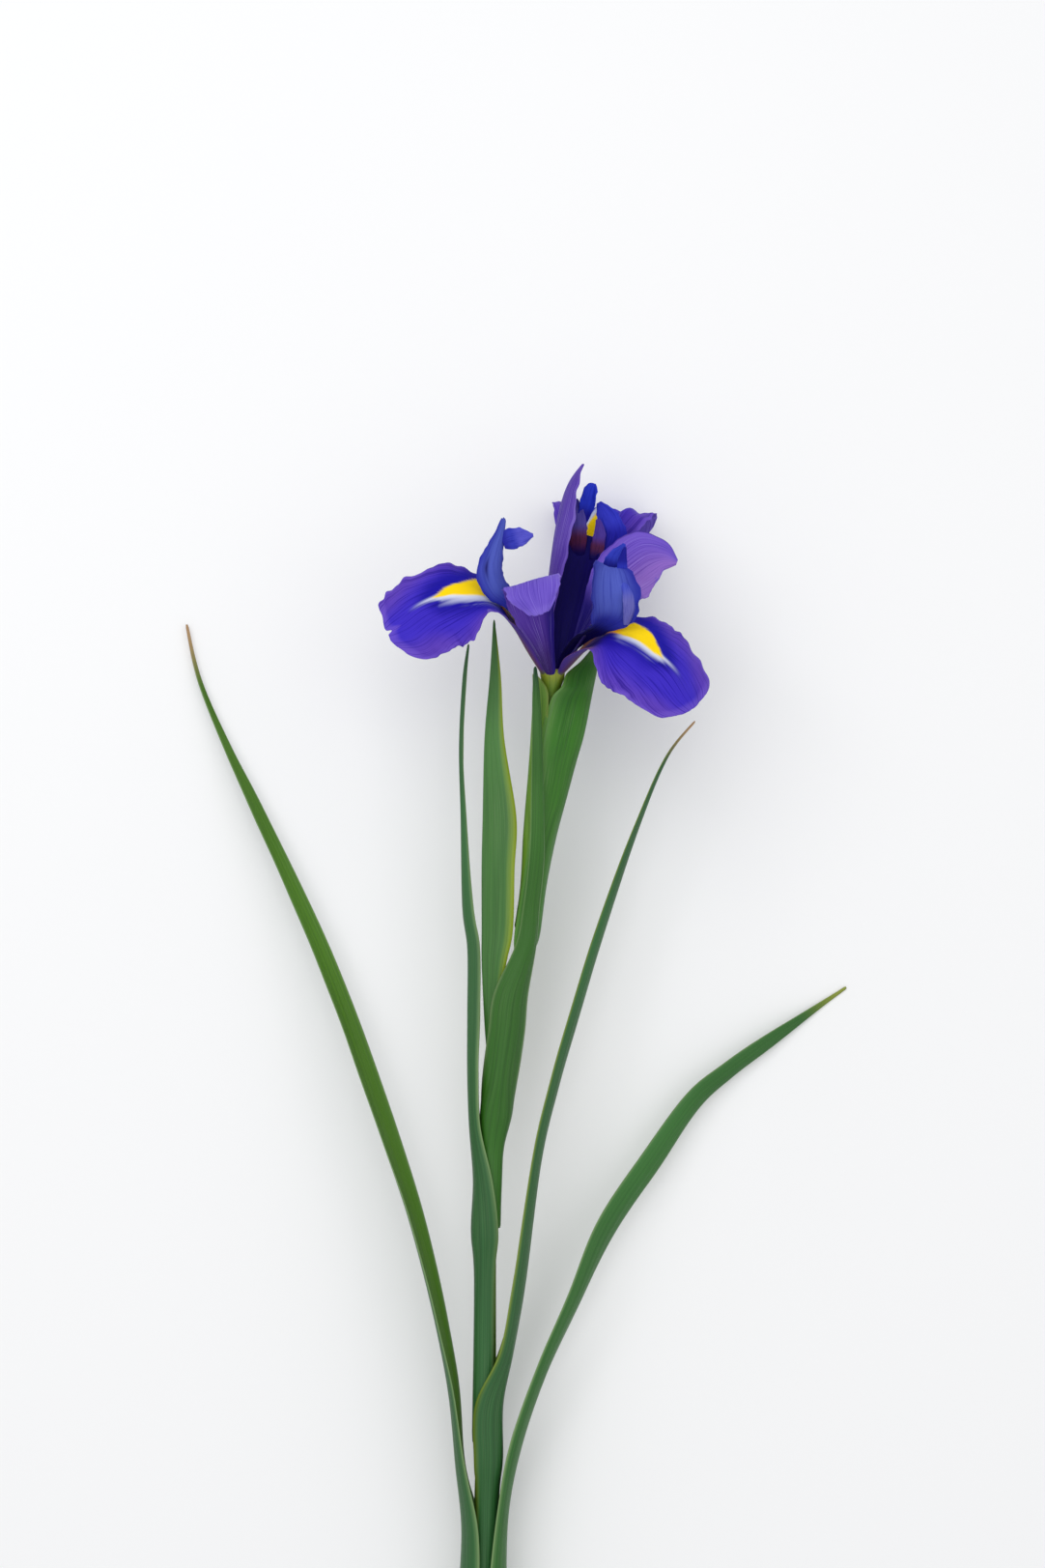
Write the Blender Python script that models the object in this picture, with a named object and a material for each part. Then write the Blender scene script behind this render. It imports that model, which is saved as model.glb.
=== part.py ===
"""Iris flower: one cut Dutch iris lying on its back, with its stem, leaves, spathe and open flower.

Shapes are set out in millimetres in the plant's own frame: the flower's base is the origin, +Y runs up the
stem, +X is the right side and +Z is the front. The finished parts are then tilted about X, so that the back
fall and the cut end lie level, and moved so that the bottom centre of the whole plant is the world origin.
"""

import math

import bmesh
import bpy
from mathutils import Matrix, Vector

MM = 0.001

# Overall attitude.
LYING_TILT_DEG = 5.0

# Stem, as (x, y, z, radius) down its centre line.
STEM_LINE = (
    (0.0, 0.0, 0.0, 2.0),
    (-2.5, -27.0, 0.0, 2.0),
    (-5.5, -55.0, 0.0, 2.1),
    (-9.5, -83.0, 0.0, 2.3),
    (-14.5, -111.0, 0.0, 2.4),
    (-18.0, -139.0, 0.0, 2.5),
    (-19.0, -167.0, 0.0, 2.6),
    (-19.0, -195.0, 0.0, 2.6),
    (-19.5, -223.0, 0.0, 2.8),
    (-20.0, -258.0, -0.5, 3.3),
    (-21.0, -293.0, -1.0, 3.6),
    (-22.0, -348.0, -2.0, 3.9),
)
STEM_TOP_Y = -57.0
STEM_CUT_Y = -348.0
STEM_SIDES = 16
STEM_RINGS = 24

# Ovary and flower tube, as (y, radius).
OVARY_PROFILE = (
    (-56.6, 2.0),
    (-52.0, 2.6),
    (-42.0, 3.0),
    (-28.0, 3.0),
    (-18.0, 2.4),
    (-10.0, 1.9),
    (-5.0, 2.0),
    (-1.5, 2.9),
    (0.0, 3.2),
)

# Sheets: petals and leaves have this thickness, thinned at their edges.
PETAL_THICKNESS = 0.8
LEAF_THICKNESS = 0.7
EDGE_THINNING = 0.55
PETAL_COLUMNS = 8
LEAF_COLUMNS = 8
PETAL_ROWS = 3
LEAF_ROWS = 2

# The part of a sheet's length by which its margins have turned to their last way.
WAY_TURNED_BY = 0.5

# Below this bend, in radians, a cross-section is straight.
FLAT_BEND = 0.01

# Sheath layers round the stem, as the gap from the stem's surface to the middle of the sheath wall.
FIRST_LAYER = 0.9
SECOND_LAYER = 2.1
THIRD_LAYER = 3.3

# Where each petal, style and stamen leaves the tube: direction in degrees (0 right, 90 back, -90 front).
RIM_HEIGHT = 0.7
PETAL_RIM_RADIUS = 2.7
STYLE_RIM_RADIUS = 1.15
FALL_LEFT_ANGLE = 200.0
FALL_RIGHT_ANGLE = -40.0
FALL_BACK_ANGLE = 78.0
STANDARD_BACK_LEFT_ANGLE = 140.0
STANDARD_FRONT_ANGLE = -100.0
STANDARD_RIGHT_ANGLE = 20.0
FALL_RIM_SPAN = 44.0
STANDARD_RIM_SPAN = 40.0
STYLE_RIM_SPAN = 74.0

# Swept sheets. A midrib is a list of stations (x, y, z, half width, curl). The curl is half the arc,
# in degrees, that the cross-section bends through, and it is below 0 where the margins droop. MARGIN_WAYS
# gives the way that each sheet's last margin faces from its midrib, at the foot and then once it has turned.
FALL_LEFT = (
    (-4, 3, 2, 2, 60),
    (-10, 12, 5, 4, 55),
    (-17, 21, 9, 6, 15),
    (-26, 23, 12, 13, -15),
    (-36, 19.5, 15, 14.5, -20),
    (-43, 16, 17, 12, -15),
    (-48, 13.5, 17, 6.5, -10),
)
FALL_RIGHT = (
    (4, 3, 3, 2, 60),
    (9, 8, 8, 4, 55),
    (16, 13, 13, 7, 20),
    (24.5, 10, 18, 14.5, -15),
    (32, 2, 21, 15, -20),
    (37.5, -5.5, 22, 12, -15),
    (40, -9, 22, 6.5, -10),
)
FALL_BACK = (
    (1, 4, -5, 1.5, 50),
    (4, 16, -13, 3, 50),
    (7, 34, -21, 4.5, 40),
    (12, 46, -27, 13, 10),
    (15, 50, -32, 16, -10),
    (17, 47, -37, 15, -15),
    (19, 36, -40, 8, -10),
)
STANDARD_BACK_LEFT = (
    (-2.5, 4, -3, 1.3, 30),
    (-2, 18, -5, 5, 40),
    (-0.5, 32, -7, 7.5, 40),
    (2, 47, -9, 8.5, 35),
    (5, 57, -9.5, 6, 25),
    (9, 63, -10, 1, 10),
)
STANDARD_FRONT = (
    (-1, 3, 5, 1.2, 30),
    (-3, 10, 12, 3.5, 45),
    (-5.5, 18, 17, 6.5, 40),
    (-6.5, 25, 22, 8, 25),
    (-6, 27.5, 27, 8.5, -10),
    (-6, 24, 31, 8, -20),
    (-4, 19, 31, 3.5, -10),
)
STANDARD_RIGHT = (
    (3.5, 3, -1, 1, -30),
    (6.5, 9, -1, 1.8, -35),
    (12, 19, -1, 4.5, -25),
    (18, 27, -3, 8.5, -15),
    (25, 33, -4, 11, -10),
    (31, 35, -4, 7.5, -5),
    (35, 34, -4, 2.5, 0),
)
STYLE_LEFT = (
    (-2.5, 8, 2, 2, -20),
    (-6, 17, 4, 2.5, -25),
    (-11, 25.5, 7, 3.5, -30),
    (-16, 31, 10, 5.5, -50),
    (-16.5, 36, 10, 4, -45),
    (-15, 41, 9, 2.5, -35),
    (-14, 46, 8, 1, -20),
)
STYLE_RIGHT = (
    (3.5, 7, 2, 1.5, -25),
    (8, 14, 8, 3, -30),
    (13, 19, 14, 5.5, -35),
    (16, 23, 18, 8.5, -40),
    (16, 28, 18, 8, -40),
    (17, 32, 15, 5, -30),
    (19.5, 37, 13, 1.5, -10),
)
STYLE_BACK = (
    (2, 6, -2, 1.2, 20),
    (5, 20, -7, 3, 35),
    (8, 33, -12, 4, 40),
    (10, 44, -16, 4.5, 40),
    (10, 51, -18, 4.5, 35),
    (11.5, 56, -17, 2.5, 20),
)
MARGIN_WAYS = {
    "fall_left": ((0.2, 0.0, 1.0), (0.1, -0.8, 0.5)),
    "fall_right": ((0.5, 0.3, -0.8), (0.5, 0.6, -0.6)),
    "fall_back": ((-1.0, 0.0, 0.0), (-1.0, 0.1, 0.0)),
    "standard_back_left": ((0.0, 0.0, 1.0), (0.1, 0.0, 1.0)),
    "standard_front": ((1.0, 0.0, 0.0), (1.0, 0.3, 0.0)),
    "standard_right": ((0.3, -0.1, 0.9), (0.6, -0.8, 0.2)),
    "style_left": ((-0.3, 0.0, 0.9), (-0.8, -0.1, 0.6)),
    "style_right": ((0.8, 0.0, -0.6), (0.9, 0.0, -0.4)),
    "style_back": ((-1.0, 0.0, 0.0), (-1.0, 0.2, 0.0)),
    "leaf_right": ((0.0, 0.0, -1.0), (0.7, -0.5, -0.5)),
    "leaf_left": ((0.0, 0.0, -1.0), (0.8, 0.0, -0.6)),
    "leaf_middle": ((0.0, 0.0, -1.0), (0.5, 0.0, -0.9)),
}

# Stamens, as (x, y, z, half width) from the foot of the filament to the tip of the anther.
STAMEN_LEFT = (
    (-3.4, 6, 2.2, 0.5),
    (-7.4, 12.4, 4.3, 0.5),
    (-10.5, 16.8, 5.9, 0.5),
    (-12, 18.8, 6.7, 0.8),
    (-14, 21.6, 7.8, 0.8),
    (-15, 22.9, 8.4, 0.5),
)
STAMEN_RIGHT = (
    (3.7, 5, 2.6, 0.5),
    (6.2, 7.8, 5.2, 0.5),
    (9, 11, 8.4, 0.6),
    (11, 12.8, 10, 1.1),
    (14, 15.3, 12.8, 1.1),
    (15.5, 16.5, 14, 0.6),
)
STAMEN_BACK = (
    (2.4, 8, -4.6, 0.5),
    (4.2, 17, -9, 0.5),
    (6, 26, -13, 0.6),
    (6.5, 29, -14.5, 1.1),
    (8.2, 37, -17.5, 1.1),
    (9, 40.5, -19, 0.6),
)
STAMEN_THICKNESS = 0.9

# Leaves: the sheath as (y, layer, from angle, to angle), then the blade. The left, right and middle blades
# are swept sheets. The three short upright ones are sections, as front margin, keel and back margin.
LEAF_RIGHT_SHEATH = (
    (-338, FIRST_LAYER, -130, 130),
    (-318, SECOND_LAYER, -125, 125),
    (-301, THIRD_LAYER, -105, 110),
    (-288, THIRD_LAYER, -80, 84),
    (-268, THIRD_LAYER, -78, 82),
)
LEAF_RIGHT_BLADE = (
    (-13, -243, -1, 7, 60),
    (-9, -222, -2, 6, 50),
    (-1.5, -200, -5, 4.5, 40),
    (7.5, -180, -8, 4, 35),
    (16.5, -160, -11, 4.5, 30),
    (30, -140, -16, 4, 30),
    (42, -123.5, -20, 3.5, 30),
    (52, -115, -23, 3, 30),
    (63, -107, -25, 2.5, 25),
    (79, -96, -29, 1, 15),
    (87, -90.5, -30, 0.3, 10),
)
LEAF_LEFT_SHEATH = (
    (-316, FIRST_LAYER, -60, -300),
    (-301, SECOND_LAYER, -75, -285),
    (-288, SECOND_LAYER, -96, -266),
    (-266, THIRD_LAYER, -99, -262),
    (-246, THIRD_LAYER, -105, -260),
)
LEAF_LEFT_BLADE = (
    (-28, -228, 0, 6, -55),
    (-31, -200, -2, 5.5, -45),
    (-40, -160, -6, 5, -40),
    (-53, -120, -12, 4.5, -35),
    (-68, -80, -20, 3.5, -35),
    (-86.5, -40, -28, 2.5, -30),
    (-96, -20, -32, 1.5, -25),
    (-104.5, 0, -36, 0.8, -15),
    (-108.5, 17, -38, 0.3, -10),
)
LEAF_MIDDLE_SHEATH = (
    (-286, FIRST_LAYER, -130, 130),
    (-240, FIRST_LAYER, -130, 130),
    (-226, SECOND_LAYER, -130, 130),
    (-210, SECOND_LAYER, -130, 130),
)
LEAF_MIDDLE_BLADE = (
    (-11.5, -195, 0, 7.5, 65),
    (-8, -175, -1, 6.5, 55),
    (-3.5, -140, -3, 4.5, 45),
    (1.5, -118, -5, 4, 40),
    (6.5, -100, -7, 3.5, 35),
    (12.5, -80, -10, 3, 35),
    (19, -60, -13, 2.5, 30),
    (26, -40, -15, 1.5, 20),
    (34, -22, -18, 0.7, 15),
    (42, -12, -20, 0.3, 10),
)
LEAF_THIN_SHEATH = (
    (-221, FIRST_LAYER, -50, -310),
    (-175, FIRST_LAYER, -50, -310),
    (-160, SECOND_LAYER, -50, -300),
    (-145, SECOND_LAYER, -80, -280),
)
LEAF_THIN_BLADE = (
    ((-21, -129, 3.8), (-24, -129, 0), (-21, -129, -4.5)),
    ((-21.5, -114, 3.2), (-24.5, -114, -0.5), (-21.5, -114, -5)),
    ((-21, -97, 0), (-24.5, -97, -3), (-21, -97, -7)),
    ((-21, -78.5, -2), (-24.5, -78.5, -5), (-21.5, -78.5, -9)),
    ((-23, -66, -4), (-26, -66, -7), (-23.5, -66, -10)),
    ((-25, -40, -8), (-26.5, -40, -9), (-25.5, -40, -11)),
    ((-26, -19.5, -9), (-27, -19.5, -10), (-26, -19.5, -12)),
    ((-25, 0, -10), (-26, 0, -11), (-25.5, 0, -12.5)),
    ((-24.2, 10, -10.5), (-24.5, 10.5, -11), (-24.2, 10, -11.5)),
)
LEAF_FRONT_SHEATH = (
    (-159, FIRST_LAYER, 40, -220),
    (-146, FIRST_LAYER, 35, -215),
    (-136, FIRST_LAYER, 30, -210),
    (-126, SECOND_LAYER, 15, -195),
)
LEAF_FRONT_BLADE = (
    ((-10.2, -116, 0.5), (-15, -116, 5.8), (-20.3, -116, 1)),
    ((-8, -102, 0.8), (-13, -102, 6), (-18.6, -102, 2.8)),
    ((-7, -91, 1.5), (-11.5, -91, 6.2), (-17, -91, 3.6)),
    ((-4.6, -77, 3.6), (-7, -77, 6.6), (-10.8, -77, 5.4)),
    ((-3.8, -66, 5.6), (-6, -66, 7), (-8.5, -66, 6.6)),
    ((-2.5, -52, 7.4), (-4.5, -52, 8.8), (-6.8, -52, 8.2)),
    ((-2.5, -40, 8.2), (-4, -40, 9.4), (-6.3, -40, 8.8)),
    ((-3, -18, 8.4), (-4.2, -18, 9.4), (-6, -18, 8.8)),
    ((-3.8, -5, 8), (-4.6, -5, 8.6), (-5.8, -5, 8.2)),
    ((-4.8, 3, 7.8), (-5, 3.5, 8), (-5.4, 3, 7.8)),
)
LEAF_BROAD_SHEATH = (
    (-123, FIRST_LAYER, -60, -300),
    (-115, FIRST_LAYER, -100, -265),
)
LEAF_BROAD_BLADE = (
    ((-16.5, -102, 1.6), (-19.4, -101.5, -1.5), (-17.5, -102, -5)),
    ((-13.6, -83.5, 2.9), (-20.3, -83, -1), (-14.5, -83, -5.5)),
    ((-11.5, -73, 3), (-20.3, -71.5, -1.5), (-13.5, -71.5, -6)),
    ((-11, -55, 3), (-20.3, -55, -2.5), (-14, -55, -7)),
    ((-10.5, -40, 1), (-20, -40, -4), (-13.5, -40, -8)),
    ((-14, -17, -3), (-19.5, -17, -6), (-15.5, -17, -9)),
    ((-15, 1, -6), (-18, 1, -8), (-16, 1, -10)),
    ((-16.8, 17, -9), (-17, 17.5, -9.5), (-16.9, 17, -10)),
)
SPATHE_INNER_SECTIONS = (
    (-72, 2.95, -50, -310),
    (-60, 2.95, -55, -305),
    (-45, 3.9, -65, -295),
    (-34, 4.2, -95, -265),
    (-24, 4.6, -110, -250),
    (-10, 5.4, -125, -235),
    (-3, 5.9, -130, -230),
    (1.5, 6.3, -165, -195),
)
SPATHE_OUTER_SHEATH = (
    (-79, FIRST_LAYER, -130, 130),
    (-74, SECOND_LAYER, -130, 130),
    (-60, SECOND_LAYER, -130, 130),
    (-46, THIRD_LAYER, -115, 115),
)
SPATHE_OUTER_BLADE = (
    ((-5.5, -34, 6.6), (4, -34, 0), (-5.5, -34, -6.6)),
    ((-4.5, -24, 6.8), (6.7, -24, 0), (-4, -24, -6.6)),
    ((-3.3, -16, 5.5), (9, -16, -1), (-2.5, -16, -6)),
    ((-0.5, -6, 4.2), (11, -6, -1.5), (0.8, -6, -5.5)),
    ((2.6, -2.2, 4), (11.8, -2, -2.5), (4, -2.5, -5.2)),
    ((6, 1.2, -1.5), (12.2, 1.5, -3.5), (7, 1.2, -5.5)),
)


def clear_scene():
    for obj in list(bpy.data.objects):
        bpy.data.objects.remove(obj, do_unlink=True)


def make_material(name, colour, roughness):
    material = bpy.data.materials.new(name)
    material.use_nodes = True
    shader = material.node_tree.nodes["Principled BSDF"]
    shader.inputs["Base Color"].default_value = (*colour, 1.0)
    shader.inputs["Roughness"].default_value = roughness
    shader.inputs["Metallic"].default_value = 0.0
    return material


def stem_at(y):
    """The stem's centre and radius at this height."""
    line = STEM_LINE
    if y >= line[0][1]:
        return Vector((line[0][0], y, line[0][2])), line[0][3]
    for upper, lower in zip(line, line[1:]):
        if y >= lower[1]:
            part = (upper[1] - y) / (upper[1] - lower[1])
            mixed = [a + (b - a) * part for a, b in zip(upper, lower)]
            return Vector((mixed[0], y, mixed[2])), mixed[3]
    return Vector((line[-1][0], y, line[-1][2])), line[-1][3]


def ring_row(centre, radius, from_angle, to_angle, columns):
    """Points along an arc round an upright axis; -90 degrees faces the front."""
    row = []
    for column in range(columns + 1):
        angle = math.radians(from_angle + (to_angle - from_angle) * column / columns)
        row.append(centre + Vector((radius * math.cos(angle), 0.0, -radius * math.sin(angle))))
    return row


def section_row(left, middle, right, columns):
    """Points along the parabola through three points."""
    left, middle, right = Vector(left), Vector(middle), Vector(right)
    row = []
    for column in range(columns + 1):
        t = column / columns
        row.append(left * (1 - t) * (1 - 2 * t) + middle * 4 * t * (1 - t) + right * t * (2 * t - 1))
    return row


def swept_rows(name, stations, columns):
    """Cross-sections along a midrib, each an arc across it with the station's half width and curl."""
    first_way, last_way = (Vector(way) for way in MARGIN_WAYS[name])
    centres = [Vector(station[:3]) for station in stations]
    last = len(stations) - 1
    rows = []
    for index, (*_, half_width, curl) in enumerate(stations):
        tangent = (centres[min(index + 1, last)] - centres[max(index - 1, 0)]).normalized()
        turned = min(1.0, index / (last * WAY_TURNED_BY))
        way = first_way.lerp(last_way, turned)
        side = (way - tangent * way.dot(tangent)).normalized()
        normal = tangent.cross(side)
        bend = math.radians(curl)
        row = []
        for column in range(columns + 1):
            turn = bend * (2 * column / columns - 1)
            reach = half_width * (2 * column / columns - 1)
            if abs(bend) < FLAT_BEND:
                row.append(centres[index] + side * reach)
                continue
            out = side * half_width * math.sin(turn) / bend
            up = normal * half_width * (1 - math.cos(turn)) / bend
            row.append(centres[index] + out + up)
        rows.append(row)
    return rows


def smooth_rows(rows, steps):
    """Adds rows between the given ones along Catmull-Rom curves."""
    found = []
    last = len(rows) - 1
    for index in range(last):
        before = rows[max(index - 1, 0)]
        start, end = rows[index], rows[index + 1]
        after = rows[min(index + 2, last)]
        for step in range(steps):
            t = step / steps
            row = []
            for p0, p1, p2, p3 in zip(before, start, end, after):
                bend = 2 * p0 - 5 * p1 + 4 * p2 - p3
                twist = 3 * p1 - p0 - 3 * p2 + p3
                row.append(p1 + 0.5 * ((p2 - p0) * t + bend * t * t + twist * t * t * t))
            found.append(row)
    found.append(rows[-1])
    return found


def row_normal(rows, i, j):
    """The surface direction at one grid point."""
    along = rows[min(i + 1, len(rows) - 1)][j] - rows[max(i - 1, 0)][j]
    across = rows[i][min(j + 1, len(rows[i]) - 1)] - rows[i][max(j - 1, 0)]
    return across.cross(along).normalized()


def plant_to_world():
    """The rotation that lays the plant down."""
    return Matrix.Rotation(math.radians(LYING_TILT_DEG), 4, "X")


def finish_object(name, mesh_builder, material):
    """Turns a bmesh in millimetres into a named object in metres, lying down."""
    bmesh.ops.recalc_face_normals(mesh_builder, faces=mesh_builder.faces)
    mesh = bpy.data.meshes.new(name)
    mesh_builder.to_mesh(mesh)
    mesh_builder.free()
    mesh.transform(plant_to_world() @ Matrix.Scale(MM, 4))
    mesh.materials.append(material)
    for polygon in mesh.polygons:
        polygon.use_smooth = True
    obj = bpy.data.objects.new(name, mesh)
    bpy.context.scene.collection.objects.link(obj)
    return obj


def sheet_object(name, rows, thickness, material):
    """A closed thin body on both sides of a grid of points."""
    builder = bmesh.new()
    sides = []
    columns = len(rows[0]) - 1
    for side in (0.5, -0.5):
        grid = []
        for i, row in enumerate(rows):
            line = []
            for j, point in enumerate(row):
                margin = j in (0, columns) or i in (0, len(rows) - 1)
                depth = thickness * (EDGE_THINNING if margin else 1.0)
                line.append(builder.verts.new(point + row_normal(rows, i, j) * side * depth))
            grid.append(line)
        sides.append(grid)
    top, bottom = sides
    for i in range(len(rows) - 1):
        for j in range(columns):
            builder.faces.new((top[i][j], top[i][j + 1], top[i + 1][j + 1], top[i + 1][j]))
            builder.faces.new((bottom[i][j], bottom[i + 1][j], bottom[i + 1][j + 1], bottom[i][j + 1]))
    for i in range(len(rows) - 1):
        builder.faces.new((top[i][0], top[i + 1][0], bottom[i + 1][0], bottom[i][0]))
        builder.faces.new((top[i][columns], bottom[i][columns], bottom[i + 1][columns], top[i + 1][columns]))
    for j in range(columns):
        builder.faces.new((top[0][j], bottom[0][j], bottom[0][j + 1], top[0][j + 1]))
        builder.faces.new((top[-1][j], top[-1][j + 1], bottom[-1][j + 1], bottom[-1][j]))
    return finish_object(name, builder, material)


def round_object(name, rings, sides, material):
    """A closed round body through (centre, radius) rings, flat at both ends."""
    builder = bmesh.new()
    grid = []
    for centre, radius in rings:
        row = ring_row(centre, radius, 0.0, 360.0, sides)[:-1]
        grid.append([builder.verts.new(point) for point in row])
    for low, high in zip(grid, grid[1:]):
        for j in range(sides):
            k = (j + 1) % sides
            builder.faces.new((low[j], low[k], high[k], high[j]))
    builder.faces.new(grid[0])
    builder.faces.new(grid[-1])
    return finish_object(name, builder, material)


def make_stem(material):
    rings = []
    for index in range(STEM_RINGS + 1):
        y = STEM_CUT_Y + (STEM_TOP_Y - STEM_CUT_Y) * index / STEM_RINGS
        rings.append(stem_at(y))
    return round_object("stem", rings, STEM_SIDES, material)


def make_ovary_tube(material):
    rings = [(stem_at(y)[0], radius) for y, radius in OVARY_PROFILE]
    return round_object("ovary_tube", rings, STEM_SIDES, material)


def rim_row(angle, radius, span, columns):
    """The foot of a petal or style on the rim of the tube."""
    centre = Vector((0.0, RIM_HEIGHT, 0.0))
    return ring_row(centre, radius, angle - span / 2, angle + span / 2, columns)


def petal_rows(name, foot, stations):
    rows = swept_rows(name, stations, PETAL_COLUMNS)
    first = rows[0]
    straight = (foot[0] - first[0]).length + (foot[-1] - first[-1]).length
    crossed = (foot[0] - first[-1]).length + (foot[-1] - first[0]).length
    if crossed < straight:
        foot = foot[::-1]
    return smooth_rows([foot] + rows, PETAL_ROWS)


def make_petal(name, angle, span, stations, material):
    foot = rim_row(angle, PETAL_RIM_RADIUS, span, PETAL_COLUMNS)
    return sheet_object(name, petal_rows(name, foot, stations), PETAL_THICKNESS, material)


def make_style(name, angle, stations, material):
    foot = rim_row(angle, STYLE_RIM_RADIUS, STYLE_RIM_SPAN, PETAL_COLUMNS)
    return sheet_object(name, petal_rows(name, foot, stations), PETAL_THICKNESS, material)


def make_stamen(name, line, material):
    """A flat strap that widens into the anther."""
    rows = []
    for x, y, z, half in line:
        outward = Vector((x, 0.0, z)).normalized()
        side = outward.cross(Vector((0.0, 1.0, 0.0)))
        centre = Vector((x, y, z))
        rows.append([centre - side * half, centre, centre + side * half])
    return sheet_object(name, smooth_rows(rows, LEAF_ROWS), STAMEN_THICKNESS, material)


def sheath_rows(sections):
    rows = []
    for y, layer, from_angle, to_angle in sections:
        centre, radius = stem_at(y)
        rows.append(ring_row(centre, radius + layer, from_angle, to_angle, LEAF_COLUMNS))
    return rows


def make_leaf(name, sheath, blade, material):
    """A sheath round the stem that opens into a blade, swept along a midrib or given as sections."""
    rows = sheath_rows(sheath)
    if name in MARGIN_WAYS:
        rows += swept_rows(name, blade, LEAF_COLUMNS)
    else:
        rows += [section_row(*section, LEAF_COLUMNS) for section in blade]
    return sheet_object(name, smooth_rows(rows, LEAF_ROWS), LEAF_THICKNESS, material)


def make_spathe_inner(material):
    rows = []
    for y, radius, from_angle, to_angle in SPATHE_INNER_SECTIONS:
        rows.append(ring_row(stem_at(y)[0], radius, from_angle, to_angle, LEAF_COLUMNS))
    rows = smooth_rows(rows, LEAF_ROWS)
    return sheet_object("spathe_inner", rows, LEAF_THICKNESS, material)


def make_flower():
    fall = make_material("fall_violet", (0.09, 0.04, 0.55), 0.55)
    standard = make_material("standard_violet", (0.16, 0.08, 0.52), 0.55)
    style = make_material("style_blue", (0.08, 0.09, 0.50), 0.5)
    stamen = make_material("stamen_cream", (0.62, 0.52, 0.24), 0.7)
    for name, angle, stations in (
        ("fall_left", FALL_LEFT_ANGLE, FALL_LEFT),
        ("fall_right", FALL_RIGHT_ANGLE, FALL_RIGHT),
        ("fall_back", FALL_BACK_ANGLE, FALL_BACK),
    ):
        make_petal(name, angle, FALL_RIM_SPAN, stations, fall)
    for name, angle, stations in (
        ("standard_back_left", STANDARD_BACK_LEFT_ANGLE, STANDARD_BACK_LEFT),
        ("standard_front", STANDARD_FRONT_ANGLE, STANDARD_FRONT),
        ("standard_right", STANDARD_RIGHT_ANGLE, STANDARD_RIGHT),
    ):
        make_petal(name, angle, STANDARD_RIM_SPAN, stations, standard)
    for name, angle, stations in (
        ("style_left", FALL_LEFT_ANGLE, STYLE_LEFT),
        ("style_right", FALL_RIGHT_ANGLE, STYLE_RIGHT),
        ("style_back", FALL_BACK_ANGLE, STYLE_BACK),
    ):
        make_style(name, angle, stations, style)
    for name, line in (
        ("stamen_left", STAMEN_LEFT),
        ("stamen_right", STAMEN_RIGHT),
        ("stamen_back", STAMEN_BACK),
    ):
        make_stamen(name, line, stamen)


def make_greenery():
    stem = make_material("stem_green", (0.16, 0.30, 0.03), 0.5)
    tube = make_material("tube_green", (0.30, 0.36, 0.04), 0.5)
    leaf = make_material("leaf_green", (0.05, 0.16, 0.02), 0.5)
    spathe = make_material("spathe_green", (0.07, 0.20, 0.04), 0.5)
    make_stem(stem)
    make_ovary_tube(tube)
    make_leaf("leaf_right", LEAF_RIGHT_SHEATH, LEAF_RIGHT_BLADE, leaf)
    make_leaf("leaf_left", LEAF_LEFT_SHEATH, LEAF_LEFT_BLADE, leaf)
    make_leaf("leaf_middle", LEAF_MIDDLE_SHEATH, LEAF_MIDDLE_BLADE, leaf)
    make_leaf("leaf_thin_upright", LEAF_THIN_SHEATH, LEAF_THIN_BLADE, leaf)
    make_leaf("leaf_front_upright", LEAF_FRONT_SHEATH, LEAF_FRONT_BLADE, leaf)
    make_leaf("leaf_broad_upright", LEAF_BROAD_SHEATH, LEAF_BROAD_BLADE, leaf)
    make_spathe_inner(spathe)
    make_leaf("spathe_outer", SPATHE_OUTER_SHEATH, SPATHE_OUTER_BLADE, spathe)


def centre_on_origin():
    """Moves every mesh so that the bottom centre of the whole plant is the world origin."""
    points = [vertex.co for obj in bpy.data.objects for vertex in obj.data.vertices]
    low = Vector([min(point[axis] for point in points) for axis in range(3)])
    high = Vector([max(point[axis] for point in points) for axis in range(3)])
    shift = Vector((-(low.x + high.x) / 2, -(low.y + high.y) / 2, -low.z))
    for obj in bpy.data.objects:
        obj.data.transform(Matrix.Translation(shift))


clear_scene()
make_greenery()
make_flower()
centre_on_origin()
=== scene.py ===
"""Iris flower: the look of one cut Dutch iris, lying on its back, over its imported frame.

Shapes are set out in millimetres in the plant's own frame: the flower's base is the origin, +Y runs up the
stem, +X is the right side and +Z is the front. place() tilts them onto the surface and into the row's frame.
"""

import math

import bpy
import numpy as np
from mathutils import Matrix, Vector


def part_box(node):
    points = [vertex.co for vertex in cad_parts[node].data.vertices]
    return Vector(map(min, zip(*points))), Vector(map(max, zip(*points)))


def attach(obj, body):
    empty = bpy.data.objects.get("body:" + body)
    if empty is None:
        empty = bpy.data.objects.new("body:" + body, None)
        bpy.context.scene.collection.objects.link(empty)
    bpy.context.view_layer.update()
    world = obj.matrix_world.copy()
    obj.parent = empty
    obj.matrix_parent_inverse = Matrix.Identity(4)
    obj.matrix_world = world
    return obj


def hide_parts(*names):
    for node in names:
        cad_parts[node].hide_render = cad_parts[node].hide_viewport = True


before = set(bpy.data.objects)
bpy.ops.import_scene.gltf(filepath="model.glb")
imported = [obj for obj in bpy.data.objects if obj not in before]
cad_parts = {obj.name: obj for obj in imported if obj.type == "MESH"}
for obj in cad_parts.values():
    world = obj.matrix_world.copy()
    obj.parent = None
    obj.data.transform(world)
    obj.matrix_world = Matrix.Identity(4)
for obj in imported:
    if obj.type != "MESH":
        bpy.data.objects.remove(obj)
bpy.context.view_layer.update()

MM = 0.001
LYING_TILT = 5.0
LYING = Matrix.Rotation(math.radians(LYING_TILT), 4, "X")
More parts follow.
